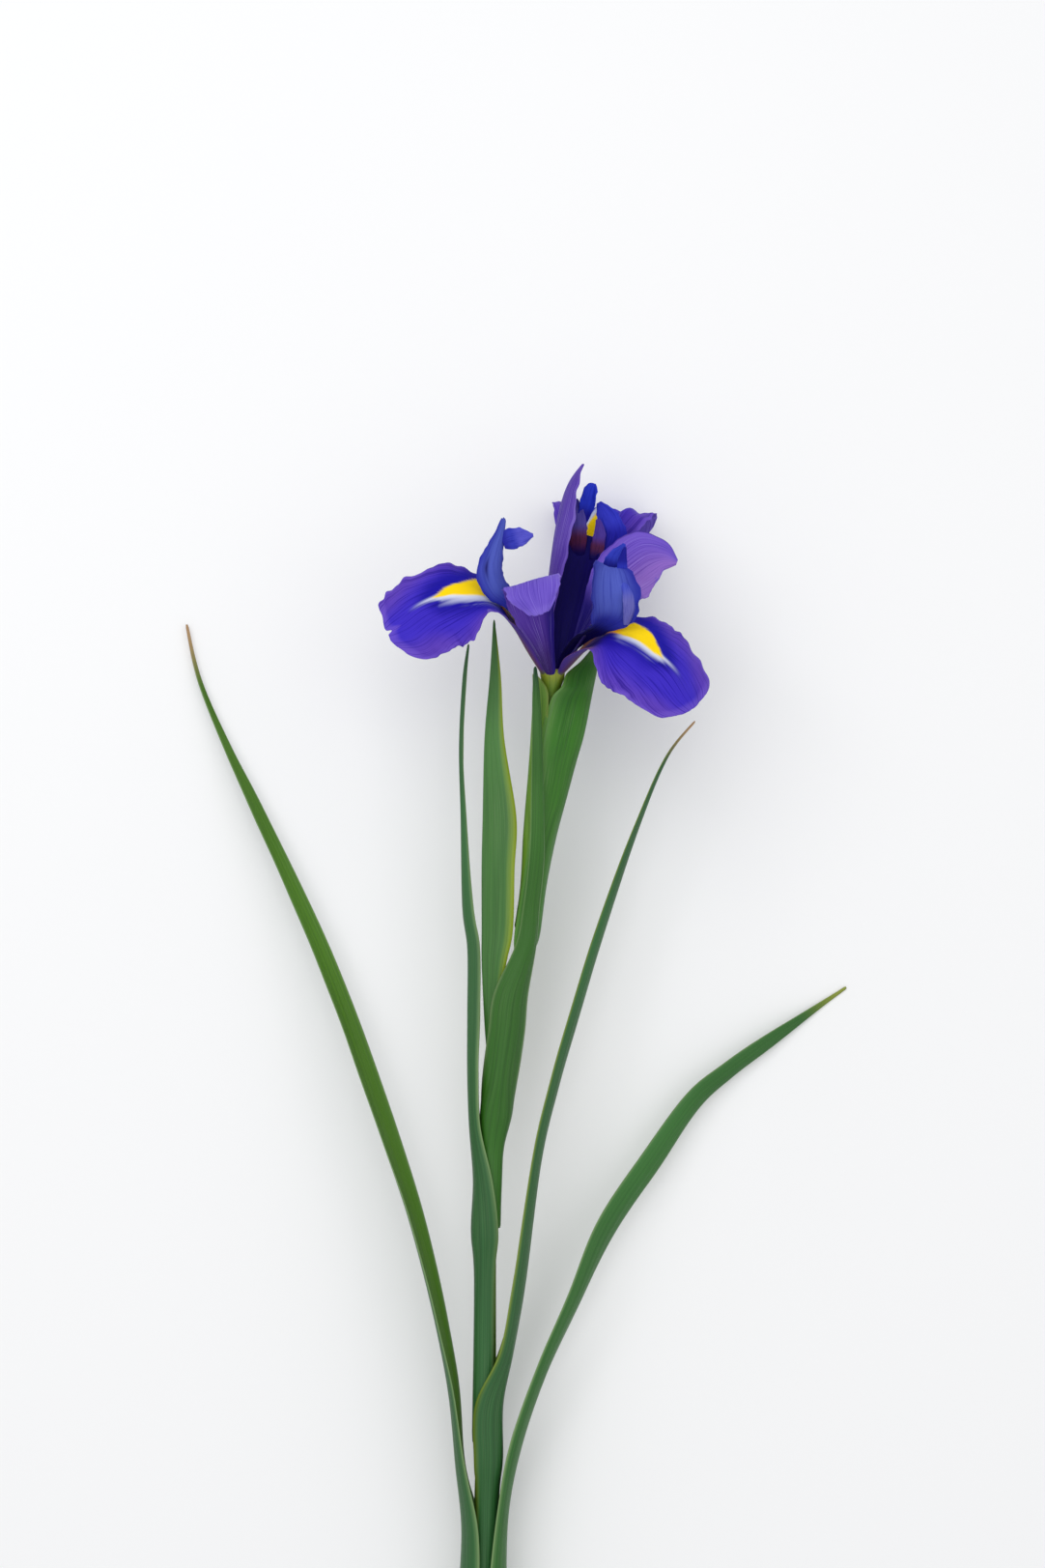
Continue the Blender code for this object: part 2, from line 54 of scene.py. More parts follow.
CAMERA_PLACE = (-8.7, -30.4, 1515.0)
CAMERA_LENS = 120.0
SENSOR_WIDTH = 36.0
FARTHEST_SEEN = 20.0

# Centre line of the stem, as (x, y, z, radius), down to its cut end.
STEM_LINE = (
    (0.0, 0.0, 0.0, 2.0),
    (-2.5, -27.0, 0.0, 2.0),
    (-5.5, -55.0, 0.0, 2.1),
    (-9.5, -83.0, 0.0, 2.3),
    (-14.5, -111.0, 0.0, 2.4),
    (-18.0, -139.0, 0.0, 2.5),
    (-19.0, -167.0, 0.0, 2.6),
    (-19.0, -195.0, 0.0, 2.6),
    (-19.5, -223.0, 0.0, 2.8),
    (-20.0, -258.0, -0.5, 3.3),
    (-21.0, -293.0, -1.0, 3.6),
    (-22.0, -348.0, -2.0, 3.9),
)


def plant_origin():
    """Where the flower's base lies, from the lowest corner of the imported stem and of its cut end."""
    x, y, z, radius = STEM_LINE[-1]
    near = (LYING @ Vector((0.0, y, z + radius))).y
    low = (LYING @ Vector((0.0, y, z - radius))).z
    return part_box("stem")[0] / MM - Vector((x - radius, near, low))


ORIGIN = plant_origin()


def place(point):
    """A point in plant millimetres, in world metres."""
    return (LYING @ Vector(point) + ORIGIN) * MM


def place_all(points):
    """An array of points in plant millimetres, in world metres."""
    return (points @ np.array(LYING.to_3x3()).T + np.array(ORIGIN)) * MM


def make_camera():
    data = bpy.data.cameras.new("camera")
    data.lens = CAMERA_LENS
    data.sensor_width = SENSOR_WIDTH
    data.clip_end = FARTHEST_SEEN
    camera = bpy.data.objects.new("camera", data)
    camera.matrix_world = Matrix.Translation(place(CAMERA_PLACE)) @ LYING
    bpy.context.scene.collection.objects.link(camera)
    bpy.context.scene.camera = camera


make_camera()


# ---------------- colours and curves

def rgb(red, green, blue):
    """An sRGB colour in linear light."""
    values = np.array((red, green, blue)) / 255.0
    return np.where(values <= 0.04045, values / 12.92, ((values + 0.055) / 1.055) ** 2.4)


def ramp(value, low, high):
    """0 at low, 1 at high, smooth between. High may be below low."""
    part = np.clip((value - low) / (high - low), 0.0, 1.0)
    return part * part * (3.0 - 2.0 * part)


def blend(first, second, part):
    part = np.asarray(part)[..., None]
    return first * (1.0 - part) + second * part


def wobble(value, seed, *waves):
    """A smooth uneven wave between about -1 and 1."""
    total = 0.0
    for index, wave in enumerate(waves):
        total = total + np.sin(value * wave + seed * (1.7 + index) + index * 2.1) / (1.0 + 0.6 * index)
    return total / sum(1.0 / (1.0 + 0.6 * index) for index in range(len(waves)))


def smooth(points, steps):
    """Catmull-Rom points along the first axis."""
    points = np.asarray(points, float)
    before = np.concatenate([points[:1], points[:-2]])
    start, end = points[:-1], points[1:]
    after = np.concatenate([points[2:], points[-1:]])
    found = []
    for step in range(steps):
        t = step / steps
        bend = 2 * before - 5 * start + 4 * end - after
        twist = 3 * start - before - 3 * end + after
        found.append(start + 0.5 * ((end - before) * t + bend * t * t + twist * t * t * t))
    found = np.stack(found, axis=1).reshape((len(points) - 1) * steps, *points.shape[1:])
    return np.concatenate([found, points[-1:]])


def across_parabola(sections, columns):
    """Sections of three points, front margin, keel and back margin, as rows along a parabola."""
    sections = np.asarray(sections, float)
    t = np.linspace(0.0, 1.0, columns + 1)[None, :, None]
    left, middle, right = (sections[:, index, None, :] for index in range(3))
    return left * (1 - t) * (1 - 2 * t) + middle * 4 * t * (1 - t) + right * t * (2 * t - 1)


def stem_at(y):
    line = np.array(STEM_LINE)[::-1]
    x, z, radius = (np.interp(y, line[:, 1], line[:, axis]) for axis in (0, 2, 3))
    return np.array((x, y, z)), float(radius)


def arc_row(centre, radius, first, last, columns):
    """Points round an upright axis: 0 degrees is the right and -90 the front."""
    angles = np.radians(np.linspace(first, last, columns + 1))
    ring = np.stack([np.cos(angles), np.zeros_like(angles), -np.sin(angles)], axis=1)
    return np.asarray(centre) + radius * ring


def swept_rows(ways, stations, columns):
    """Cross-sections along a midrib of (x, y, z, half width, curl), each an arc across it."""
    stations = np.asarray(stations, float)
    centres = stations[:, :3]
    last = len(centres) - 1
    first_way, last_way = (np.array(way) for way in ways)
    u = np.linspace(-1.0, 1.0, columns + 1)[:, None]
    rows = []
    for index in range(last + 1):
        tangent = centres[min(index + 1, last)] - centres[max(index - 1, 0)]
        tangent = tangent / np.linalg.norm(tangent)
        turned = min(1.0, index / (last * 0.5))
        way = first_way * (1.0 - turned) + last_way * turned
        side = way - tangent * np.dot(way, tangent)
        side = side / np.linalg.norm(side)
        normal = np.cross(tangent, side)
        half, curl = stations[index, 3:]
        bend = math.radians(curl) or 0.01
        arc = side * np.sin(u * bend) + normal * (1.0 - np.cos(u * bend))
        rows.append(centres[index] + arc * half / bend)
    return np.array(rows)


def normals_of(grid):
    normal = np.cross(np.gradient(grid, axis=1), np.gradient(grid, axis=0))
    return normal / np.maximum(np.linalg.norm(normal, axis=2, keepdims=True), 1e-9)


# ---------------- sheets

TIP_NOTCH_WIDTH = 0.07
# Ruffles are full where the margin is at least this far from the midrib, in millimetres.
WIDEST_RUFFLE = 3.0
# How steeply each kind of edge detail dies away towards the middle line.
RUFFLE_FALLOFF = 5
NOTCH_FALLOFF = 6
SCALLOP_FALLOFF = 8
# How much of a sheet's thickness is lost at its long margins, and how much is left at its two ends.
MARGIN_THINNING = 0.7
THINNING_FALLOFF = 10
END_THICKNESS = 0.35


class Sheet:
    """A grid of points, with s from -1 to 1 across it and t from 0 to 1 along it."""

    def __init__(self, rows, steps):
        self.grid = smooth(rows, steps)
        count, width = self.grid.shape[:2]
        middle = width // 2
        steps_along = np.linalg.norm(np.diff(self.grid[:, middle], axis=0), axis=1)
        run = np.concatenate([[0.0], np.cumsum(steps_along)])
        self.length = run[-1]
        self.t = np.repeat((run / run[-1])[:, None], width, axis=1)
        self.s = np.repeat(np.linspace(-1.0, 1.0, width)[None, :], count, axis=0)
        gaps = np.linalg.norm(np.diff(self.grid, axis=1), axis=2)
        reach = np.concatenate([np.zeros((count, 1)), np.cumsum(gaps, axis=1)], axis=1)
        self.across = reach - reach[:, middle:middle + 1]

    def lift(self, amount):
        """Moves the points out along the surface direction, in millimetres."""
        self.grid = self.grid + normals_of(self.grid) * np.asarray(amount)[..., None]

    def pull_in(self, part):
        """Moves the points towards the middle line by this part of their distance."""
        middle = self.grid[:, self.grid.shape[1] // 2, None, :]
        self.grid = self.grid + (middle - self.grid) * np.asarray(part)[..., None]

    def round_tip(self, amount, power=2.5, waves=0.0, seed=0.0, notch_at=0.0, notch=0.0):
        """Draws the corners of the far end back along the sheet, into an arc that can have one notch."""
        count, width = self.grid.shape[:2]
        place_along = np.arange(count, dtype=float)
        drawn = self.grid.copy()
        for column in range(width):
            s = self.s[0, column]
            back = amount * abs(s) ** power + waves * (1.0 + wobble(s * 9.0, seed, 1.0, 2.3))
            back = back + notch * math.exp(-((s - notch_at) / TIP_NOTCH_WIDTH) ** 2)
            take = place_along * (1.0 - back * ramp(self.t[:, column], 0.3, 1.0))
            for axis in range(3):
                drawn[:, column, axis] = np.interp(take, place_along, self.grid[:, column, axis])
        self.grid = drawn

    def ruffle(self, size, seed, *waves):
        """Waves that grow towards the margins."""
        run = self.t * self.length
        both = np.where(self.s < 0, wobble(run, seed, *waves), wobble(run, seed + 4.3, *waves))
        tip = wobble(self.s * 6.0, seed + 2.0, 1.0, 1.9) * ramp(self.t, 0.85, 1.0)
        narrow = np.clip(np.abs(self.across) / WIDEST_RUFFLE, 0.0, 1.0)
        margins = both * np.abs(self.s) ** RUFFLE_FALLOFF * ramp(self.t, 0.25, 0.5)
        self.lift(size * narrow * (margins + 0.6 * tip))

    def scallop(self, size, seed, *waves):
        """Small bites along the margins."""
        run = self.t * self.length
        both = np.where(self.s < 0, wobble(run, seed, *waves), wobble(run, seed + 2.9, *waves))
        near = np.abs(self.s) ** SCALLOP_FALLOFF * ramp(self.t, 0.3, 0.5)
        self.pull_in(size * (both * 0.5 + 0.5) * near)

    def notch(self, side, at, width, depth):
        """One cut into the margin on this side."""
        near = np.exp(-((self.t - at) / width) ** 2)
        self.pull_in(depth * near * (self.s * side > 0) * np.abs(self.s) ** NOTCH_FALLOFF)

    def groove(self, depth, width):
        """A shallow channel along the midrib."""
        along = ramp(self.t, 0.1, 0.3) * ramp(self.t, 1.0, 0.8)
        self.lift(-depth * np.exp(-(self.across / width) ** 2) * along)

    def veins(self, height, count, seed):
        """Low ridges that run along the sheet."""
        spread = self.s * count + 0.4 * wobble(self.t * 7.0, seed, 1.0, 2.2)
        self.lift(height * wobble(spread, seed, 1.0, 1.7, 2.9) * ramp(1.0 - np.abs(self.s), 0.0, 0.1))

    def margin(self):
        """0 over most of the sheet, rising to 1 at its long margins and its tip."""
        return np.maximum(np.abs(self.s), ramp(self.t, 0.8, 1.0))


def grid_faces(count, width):
    """The faces of a closed thin body whose two sides are grids of this size."""
    i, j = np.meshgrid(np.arange(count - 1), np.arange(width - 1), indexing="ij")
    a = (i * width + j).ravel()
    shift = count * width
    top = np.stack([a, a + 1, a + width + 1, a + width], axis=1)
    faces = [top, top[:, ::-1] + shift]
    row = np.arange(count - 1) * width
    for start, flip in ((row, False), (row + width - 1, True)):
        side = np.stack([start, start + width, start + width + shift, start + shift], axis=1)
        faces.append(side[:, ::-1] if flip else side)
    line = np.arange(width - 1)
    end = np.stack([line, line + shift, line + shift + 1, line + 1], axis=1)
    faces.append(end)
    faces.append(end[:, ::-1] + (count - 1) * width)
    return np.concatenate(faces)


def painted_object(name, points, faces, places, colours, material, replaces):
    """A mesh in world metres with its place on the sheet, its paint and its material, riding the root."""
    mesh = bpy.data.meshes.new(name)
    mesh.from_pydata(points.tolist(), [], faces)
    mesh.update()
    corners = np.empty(len(mesh.loops), np.int32)
    mesh.loops.foreach_get("vertex_index", corners)
    layer = mesh.uv_layers.new(name="Sheet")
    layer.data.foreach_set("uv", places[corners].astype(np.float32).ravel())
    tint = mesh.color_attributes.new("tint", "FLOAT_COLOR", "POINT")
    tint.data.foreach_set("color", colours.astype(np.float32).ravel())
    mesh.materials.append(material)
    mesh.polygons.foreach_set("use_smooth", np.ones(len(mesh.polygons), bool))
    obj = bpy.data.objects.new(name, mesh)
    bpy.context.scene.collection.objects.link(obj)
    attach(obj, "root")
    if replaces:
        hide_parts(replaces)


def sheet_object(name, sheet, thickness, upper, under, material, replaces=None):
    """A closed thin body on both sides of the sheet, painted on each side."""
    count, width = sheet.grid.shape[:2]
    normal = normals_of(sheet.grid)
    ends = np.minimum(np.arange(count), np.arange(count)[::-1])[:, None]
    thin = 1.0 - MARGIN_THINNING * np.abs(sheet.s) ** THINNING_FALLOFF
    thin = thin * np.where(ends == 0, END_THICKNESS, 1.0)
    half = (0.5 * thickness * thin)[..., None]
    points = [(sheet.grid + normal * half).reshape(-1, 3), (sheet.grid - normal * half).reshape(-1, 3)]
    places = np.stack([sheet.s * 0.5 + 0.5, sheet.t], axis=2).reshape(-1, 2)
    colours = np.concatenate([upper.reshape(-1, 4), under.reshape(-1, 4)])
    painted_object(name, place_all(np.concatenate(points)), grid_faces(count, width).tolist(),
                   np.concatenate([places, places]), colours, material, replaces)


def with_veins(colour, strength):
    """A colour with the vein strength as its fourth value."""
    strength = np.broadcast_to(np.asarray(strength, float), colour.shape[:2])
    return np.concatenate([colour, strength[..., None]], axis=2)


def sides(sheet, face, back, towards):
    """The two paints in the order of the sheet's sides, with face on the side that looks this way."""
    rows, columns = sheet.grid.shape[:2]
    middle = normals_of(sheet.grid)[rows * 5 // 8, columns // 2]
    return (face, back) if float(np.dot(middle, towards)) > 0 else (back, face)


# ---------------- materials

class Nodes:
    """Short ways to add and join shader nodes."""

    def __init__(self, name, roughness, specular):
        self.material = bpy.data.materials.new(name)
        self.material.use_nodes = True
        self.tree = self.material.node_tree
        self.shader = self.tree.nodes["Principled BSDF"]
        self.shader.inputs["Roughness"].default_value = roughness
        self.shader.inputs["Specular IOR Level"].default_value = specular

    def add(self, kind, **settings):
        node = self.tree.nodes.new(kind)
        for key, value in settings.items():
            setattr(node, key, value)
        return node

    def join(self, output, socket):
        self.tree.links.new(output, socket)

    def math(self, operation, first, second):
        node = self.add("ShaderNodeMath", operation=operation)
        for socket, value in zip(node.inputs, (first, second)):
            if isinstance(value, (int, float)):
                socket.default_value = value
            else:
                self.join(value, socket)
        return node.outputs[0]

    def sheet_place(self):
        """The place on the sheet: across from -1 to 1, and along from 0 to 1."""
        where = self.add("ShaderNodeUVMap", uv_map="Sheet")
        parts = self.add("ShaderNodeSeparateXYZ")
        self.join(where.outputs[0], parts.inputs[0])
        across = self.math("MULTIPLY", self.math("SUBTRACT", parts.outputs[0], 0.5), 2.0)
        return across, parts.outputs[1]

    def noise(self, across, along, counts, seed, detail):
        """Noise made this many times finer across the sheet and along it."""
        joined = self.add("ShaderNodeCombineXYZ")
        self.join(self.math("MULTIPLY", across, counts[0]), joined.inputs[0])
        self.join(self.math("MULTIPLY", along, counts[1]), joined.inputs[1])
        joined.inputs[2].default_value = seed
        node = self.add("ShaderNodeTexNoise")
        node.inputs["Scale"].default_value = 1.0
        node.inputs["Detail"].default_value = detail
        self.join(joined.outputs[0], node.inputs["Vector"])
        return node.outputs[0]

    def between(self, value, low, high):
        node = self.add("ShaderNodeMapRange", interpolation_type="SMOOTHSTEP")
        self.join(value, node.inputs[0])
        node.inputs[1].default_value = low
        node.inputs[2].default_value = high
        return node.outputs[0]

    def mix(self, kind, part, colour, other):
        """Mixes or multiplies a colour by a fixed one, by this part."""
        node = self.add("ShaderNodeMix", data_type="RGBA", blend_type=kind)
        sockets = [socket for socket in node.inputs if socket.type == "RGBA"]
        self.join(colour, sockets[0])
        sockets[1].default_value = (*other, 1.0)
        self.join(part, node.inputs[0])
        return [socket for socket in node.outputs if socket.type == "RGBA"][0]

    def bump(self, height, strength, distance):
        node = self.add("ShaderNodeBump")
        node.inputs["Strength"].default_value = strength
        node.inputs["Distance"].default_value = distance
        self.join(height, node.inputs["Height"])
        self.join(node.outputs[0], self.shader.inputs["Normal"])


PETAL_ROUGHNESS = 0.6
PETAL_SPECULAR = 0.1
PETAL_SHEEN = 0.03
SHEEN_ROUGHNESS = 0.4
PETAL_SHADE = (0.86, 0.86, 0.92)
PALE_VEIN = (0.42, 0.34, 0.82)
LEAF_ROUGHNESS = 0.3
LEAF_SPECULAR = 0.35
LEAF_SHADE = (0.78, 0.84, 0.82)
LEAF_LINE = (0.6, 0.7, 0.6)
LEAF_PALE_LINE = (0.22, 0.34, 0.14)
BUMP_HEIGHT = 0.0003


def petal_material(name, seed, fan, vein_count, vein_colour, pale_veins=0.0):
    """Painted petal tissue: veins that fan out, fine cells and a velvety surface."""
    made = Nodes(name, PETAL_ROUGHNESS, PETAL_SPECULAR)
    tint = made.add("ShaderNodeAttribute", attribute_name="tint", attribute_type="GEOMETRY")
    across, along = made.sheet_place()
    spread = made.math("ADD", made.math("MULTIPLY", along, fan), 1.0 - fan)
    ray = made.math("DIVIDE", across, spread)
    strands = made.noise(ray, along, (vein_count, 2.2), seed, 2.0)
    veins = made.between(strands, 0.52, 0.66)
    fine = made.noise(ray, along, (vein_count * 2.7, 5.0), seed + 7.0, 3.0)
    thin = made.between(fine, 0.5, 0.72)
    clouds = made.noise(across, along, (2.3, 4.0), seed + 3.0, 3.0)
    strength = tint.outputs["Alpha"]
    colour = made.mix("MULTIPLY", made.math("MULTIPLY", veins, strength), tint.outputs["Color"], vein_colour)
    thin = made.math("MULTIPLY", thin, made.math("MULTIPLY", strength, 0.55))
    colour = made.mix("MULTIPLY", thin, colour, vein_colour)
    colour = made.mix("MULTIPLY", made.between(clouds, 0.45, 0.75), colour, PETAL_SHADE)
    if pale_veins:
        light = made.between(made.math("SUBTRACT", 1.0, strands), 0.56, 0.68)
        part = made.math("MULTIPLY", made.math("MULTIPLY", light, strength), pale_veins)
        colour = made.mix("MIX", part, colour, PALE_VEIN)
    made.join(colour, made.shader.inputs["Base Color"])
    cells = made.noise(ray, along, (90.0, 120.0), seed, 2.0)
    height = made.math("ADD", made.math("MULTIPLY", strands, 0.8), made.math("MULTIPLY", cells, 0.2))
    made.bump(height, 0.35, BUMP_HEIGHT)
    made.shader.inputs["Sheen Weight"].default_value = PETAL_SHEEN
    made.shader.inputs["Sheen Roughness"].default_value = SHEEN_ROUGHNESS
    return made.material


def leaf_material(name, seed, streaks):
    """Painted leaf tissue: fine parallel veins and a faint waxy bloom."""
    made = Nodes(name, LEAF_ROUGHNESS, LEAF_SPECULAR)
    tint = made.add("ShaderNodeAttribute", attribute_name="tint", attribute_type="GEOMETRY")
    across, along = made.sheet_place()
    broad = made.noise(across, along, (5.0, 3.0), seed, 3.0)
    lines = made.noise(across, along, (streaks, 2.0), seed + 5.0, 2.0)
    fine = made.noise(across, along, (streaks * 3.0, 6.0), seed + 9.0, 2.0)
    strength = tint.outputs["Alpha"]
    colour = made.mix("MULTIPLY", made.between(broad, 0.42, 0.7), tint.outputs["Color"], LEAF_SHADE)
    part = made.math("MULTIPLY", made.between(lines, 0.48, 0.68), strength)
    colour = made.mix("MULTIPLY", part, colour, LEAF_LINE)
    pale = made.math("MULTIPLY", made.between(fine, 0.55, 0.75), made.math("MULTIPLY", strength, 0.35))
    colour = made.mix("MIX", pale, colour, LEAF_PALE_LINE)
    made.join(colour, made.shader.inputs["Base Color"])
    height = made.math("ADD", made.math("MULTIPLY", lines, 0.7), made.math("MULTIPLY", fine, 0.3))
    made.bump(height, 0.45, BUMP_HEIGHT)
    roughness = made.math("ADD", made.math("MULTIPLY", broad, 0.25), LEAF_ROUGHNESS)
    made.join(roughness, made.shader.inputs["Roughness"])
    return made.material


FALL_SKIN = petal_material("fall_skin", 1.0, fan=0.86, vein_count=25.0, vein_colour=(0.36, 0.26, 0.62))
STANDARD_SKIN = petal_material(
    "standard_skin", 4.0, fan=0.45, vein_count=21.0, vein_colour=(0.5, 0.4, 0.72), pale_veins=0.3)
STYLE_SKIN = petal_material("style_skin", 9.0, fan=0.3, vein_count=10.0, vein_colour=(0.5, 0.5, 0.75))
LEAF_SKIN = leaf_material("leaf_skin", 2.0, streaks=34.0)
SPATHE_SKIN = leaf_material("spathe_skin", 5.0, streaks=24.0)
STEM_SKIN = leaf_material("stem_skin", 8.0, streaks=16.0)
STAMEN_SKIN = leaf_material("stamen_skin", 11.0, streaks=10.0)


# ---------------- greenery

FIRST_LAYER = 0.9
SECOND_LAYER = 2.1
THIRD_LAYER = 3.3
LEAF_COLUMNS = 24
LEAF_STEPS = 10
LEAF_SKIN_THICKNESS = 0.5
LEAF_VEIN_HEIGHT = 0.05
LEAF_WAVE_HEIGHT = 0.12

# Leaves: the sheath as (y, layer over the stem, from angle, to angle), then the blade. The left, right and
# middle blades are midribs of (x, y, z, half width, curl), and the others sections of front margin, keel and
# back margin. The inner spathe has no blade, and its sections are (y, radius, from angle, to angle).
LEAF_RIGHT_SHEATH = (
    (-338, FIRST_LAYER, -130, 130),
    (-318, SECOND_LAYER, -125, 125),
    (-301, THIRD_LAYER, -105, 110),
    (-288, THIRD_LAYER, -80, 84),
    (-268, THIRD_LAYER, -78, 82),
)
LEAF_RIGHT_BLADE = (
    (-13, -243, -1, 7, 60),
    (-9, -222, -2, 6, 50),
    (-1.5, -200, -5, 4.5, 40),
    (7.5, -180, -8, 4, 35),
    (16.5, -160, -11, 4.5, 30),
    (30, -140, -16, 4, 30),
    (42, -123.5, -20, 3.5, 30),
    (52, -115, -23, 3, 30),
    (63, -107, -25, 2.5, 25),
    (79, -96, -29, 1, 15),
    (87, -90.5, -30, 0.3, 10),
)
LEAF_RIGHT_WAYS = ((0.0, 0.0, -1.0), (0.7, -0.5, -0.5))
LEAF_LEFT_SHEATH = (
    (-316, FIRST_LAYER, -60, -300),
    (-301, SECOND_LAYER, -75, -285),
    (-288, SECOND_LAYER, -96, -266),
    (-266, THIRD_LAYER, -99, -262),
    (-246, THIRD_LAYER, -105, -260),
)
LEAF_LEFT_BLADE = (
    (-28, -228, 0, 6, -55),
    (-31, -200, -2, 5.5, -45),
    (-40, -160, -6, 5, -40),
    (-53, -120, -12, 4.5, -35),
    (-68, -80, -20, 3.5, -35),
    (-86.5, -40, -28, 2.5, -30),
    (-96, -20, -32, 1.5, -25),
    (-104.5, 0, -36, 0.8, -15),
    (-108.5, 17, -38, 0.3, -10),
)
LEAF_LEFT_WAYS = ((0.0, 0.0, -1.0), (0.8, 0.0, -0.6))
LEAF_MIDDLE_SHEATH = (
    (-286, FIRST_LAYER, -130, 130),
    (-240, FIRST_LAYER, -130, 130),
    (-226, SECOND_LAYER, -130, 130),
    (-210, SECOND_LAYER, -130, 130),
)
LEAF_MIDDLE_BLADE = (
    (-11.5, -195, 0, 7.5, 65),
    (-8, -175, -1, 6.5, 55),
    (-3.5, -140, -3, 4.5, 45),
    (1.5, -118, -5, 4, 40),
    (6.5, -100, -7, 3.5, 35),
    (12.5, -80, -10, 3, 35),
    (19, -60, -13, 2.5, 30),
    (26, -40, -15, 1.5, 20),
    (34, -22, -18, 0.7, 15),
    (42, -12, -20, 0.3, 10),
)
LEAF_MIDDLE_WAYS = ((0.0, 0.0, -1.0), (0.5, 0.0, -0.9))
LEAF_THIN_SHEATH = (
    (-221, FIRST_LAYER, -50, -310),
    (-175, FIRST_LAYER, -50, -310),
    (-160, SECOND_LAYER, -50, -300),
    (-145, SECOND_LAYER, -80, -280),
)
LEAF_THIN_BLADE = (
    ((-21, -129, 3.8), (-24, -129, 0), (-21, -129, -4.5)),
    ((-21.5, -114, 3.2), (-24.5, -114, -0.5), (-21.5, -114, -5)),
    ((-21, -97, 0), (-24.5, -97, -3), (-21, -97, -7)),
    ((-21, -78.5, -2), (-24.5, -78.5, -5), (-21.5, -78.5, -9)),
    ((-23, -66, -4), (-26, -66, -7), (-23.5, -66, -10)),
    ((-25, -40, -8), (-26.5, -40, -9), (-25.5, -40, -11)),
    ((-26, -19.5, -9), (-27, -19.5, -10), (-26, -19.5, -12)),
    ((-25, 0, -10), (-26, 0, -11), (-25.5, 0, -12.5)),
    ((-24.2, 10, -10.5), (-24.5, 10.5, -11), (-24.2, 10, -11.5)),
)
LEAF_FRONT_SHEATH = (
    (-159, FIRST_LAYER, 40, -220),
    (-146, FIRST_LAYER, 35, -215),
    (-136, FIRST_LAYER, 30, -210),
    (-126, SECOND_LAYER, 15, -195),
)
LEAF_FRONT_BLADE = (
    ((-10.2, -116, 0.5), (-15, -116, 5.8), (-20.3, -116, 1)),
    ((-8, -102, 0.8), (-13, -102, 6), (-18.6, -102, 2.8)),
    ((-7, -91, 1.5), (-11.5, -91, 6.2), (-17, -91, 3.6)),
    ((-4.6, -77, 3.6), (-7, -77, 6.6), (-10.8, -77, 5.4)),
    ((-3.8, -66, 5.6), (-6, -66, 7), (-8.5, -66, 6.6)),
    ((-2.5, -52, 7.4), (-4.5, -52, 8.8), (-6.8, -52, 8.2)),
    ((-2.5, -40, 8.2), (-4, -40, 9.4), (-6.3, -40, 8.8)),
    ((-3, -18, 8.4), (-4.2, -18, 9.4), (-6, -18, 8.8)),
    ((-3.8, -5, 8), (-4.6, -5, 8.6), (-5.8, -5, 8.2)),
    ((-4.8, 3, 7.8), (-5, 3.5, 8), (-5.4, 3, 7.8)),
)
LEAF_BROAD_SHEATH = (
    (-123, FIRST_LAYER, -60, -300),
    (-115, FIRST_LAYER, -100, -265),
)
LEAF_BROAD_BLADE = (
    ((-16.5, -102, 1.6), (-19.4, -101.5, -1.5), (-17.5, -102, -5)),
    ((-13.6, -83.5, 2.9), (-20.3, -83, -1), (-14.5, -83, -5.5)),
    ((-11.5, -73, 3), (-20.3, -71.5, -1.5), (-13.5, -71.5, -6)),
    ((-11, -55, 3), (-20.3, -55, -2.5), (-14, -55, -7)),
    ((-10.5, -40, 1), (-20, -40, -4), (-13.5, -40, -8)),
    ((-14, -17, -3), (-19.5, -17, -6), (-15.5, -17, -9)),
    ((-15, 1, -6), (-18, 1, -8), (-16, 1, -10)),
    ((-16.8, 17, -9), (-17, 17.5, -9.5), (-16.9, 17, -10)),
)
SPATHE_INNER_SECTIONS = (
    (-72, 2.95, -50, -310),
    (-60, 2.95, -55, -305),
    (-45, 3.9, -65, -295),
    (-34, 4.2, -95, -265),
    (-24, 4.4, -95, -250),
    (-10, 4.8, -95, -235),
    (-3, 5.2, -105, -230),
    (1.5, 5.6, -150, -195),
)
SPATHE_OUTER_SHEATH = (
    (-79, FIRST_LAYER, -130, 130),
    (-74, SECOND_LAYER, -130, 130),
    (-60, SECOND_LAYER, -130, 130),
    (-46, THIRD_LAYER, -115, 115),
)
SPATHE_OUTER_BLADE = (
    ((-5.5, -34, 6.6), (4, -34, 0), (-5.5, -34, -6.6)),
    ((-4.5, -24, 6.8), (6.7, -24, 0), (-4, -24, -6.6)),
    ((-3.3, -16, 5.5), (9, -16, -1), (-2.5, -16, -6)),
    ((-0.5, -6, 4.2), (11, -6, -1.5), (0.8, -6, -5.5)),
    ((2.6, -2.2, 4), (11.8, -2, -2.5), (4, -2.5, -5.2)),
    ((4, 1.5, 1.5), (12.6, 2, -2.5), (6, 1.5, -5.5)),
    ((8, 5, 0), (13, 5.5, -3), (9, 5, -5)),
    ((11.5, 9, -2), (13, 9.2, -3), (12, 9, -4)),
)

DARK_GREEN = rgb(44, 98, 22)
BLUE_GREEN = rgb(42, 94, 46)
TEAL_GREEN = rgb(24, 72, 38)
BRIGHT_GREEN = rgb(84, 136, 14)
OLIVE_GREEN = rgb(68, 114, 6)
PALE_RIM = rgb(120, 150, 96)
TAN_TIP = rgb(190, 150, 110)
YELLOW_GREEN = rgb(150, 170, 30)


def sheath_rows(sections):
    rows = []
    for y, layer, first, last in sections:
        centre, radius = stem_at(y)
        rows.append(arc_row(centre, radius + layer, first, last, LEAF_COLUMNS))
    return np.array(rows)


def leaf_rows(sheath, blade, ways=None):
    blade = swept_rows(ways, blade, LEAF_COLUMNS) if ways else across_parabola(blade, LEAF_COLUMNS)
    return np.concatenate([sheath_rows(sheath), blade])


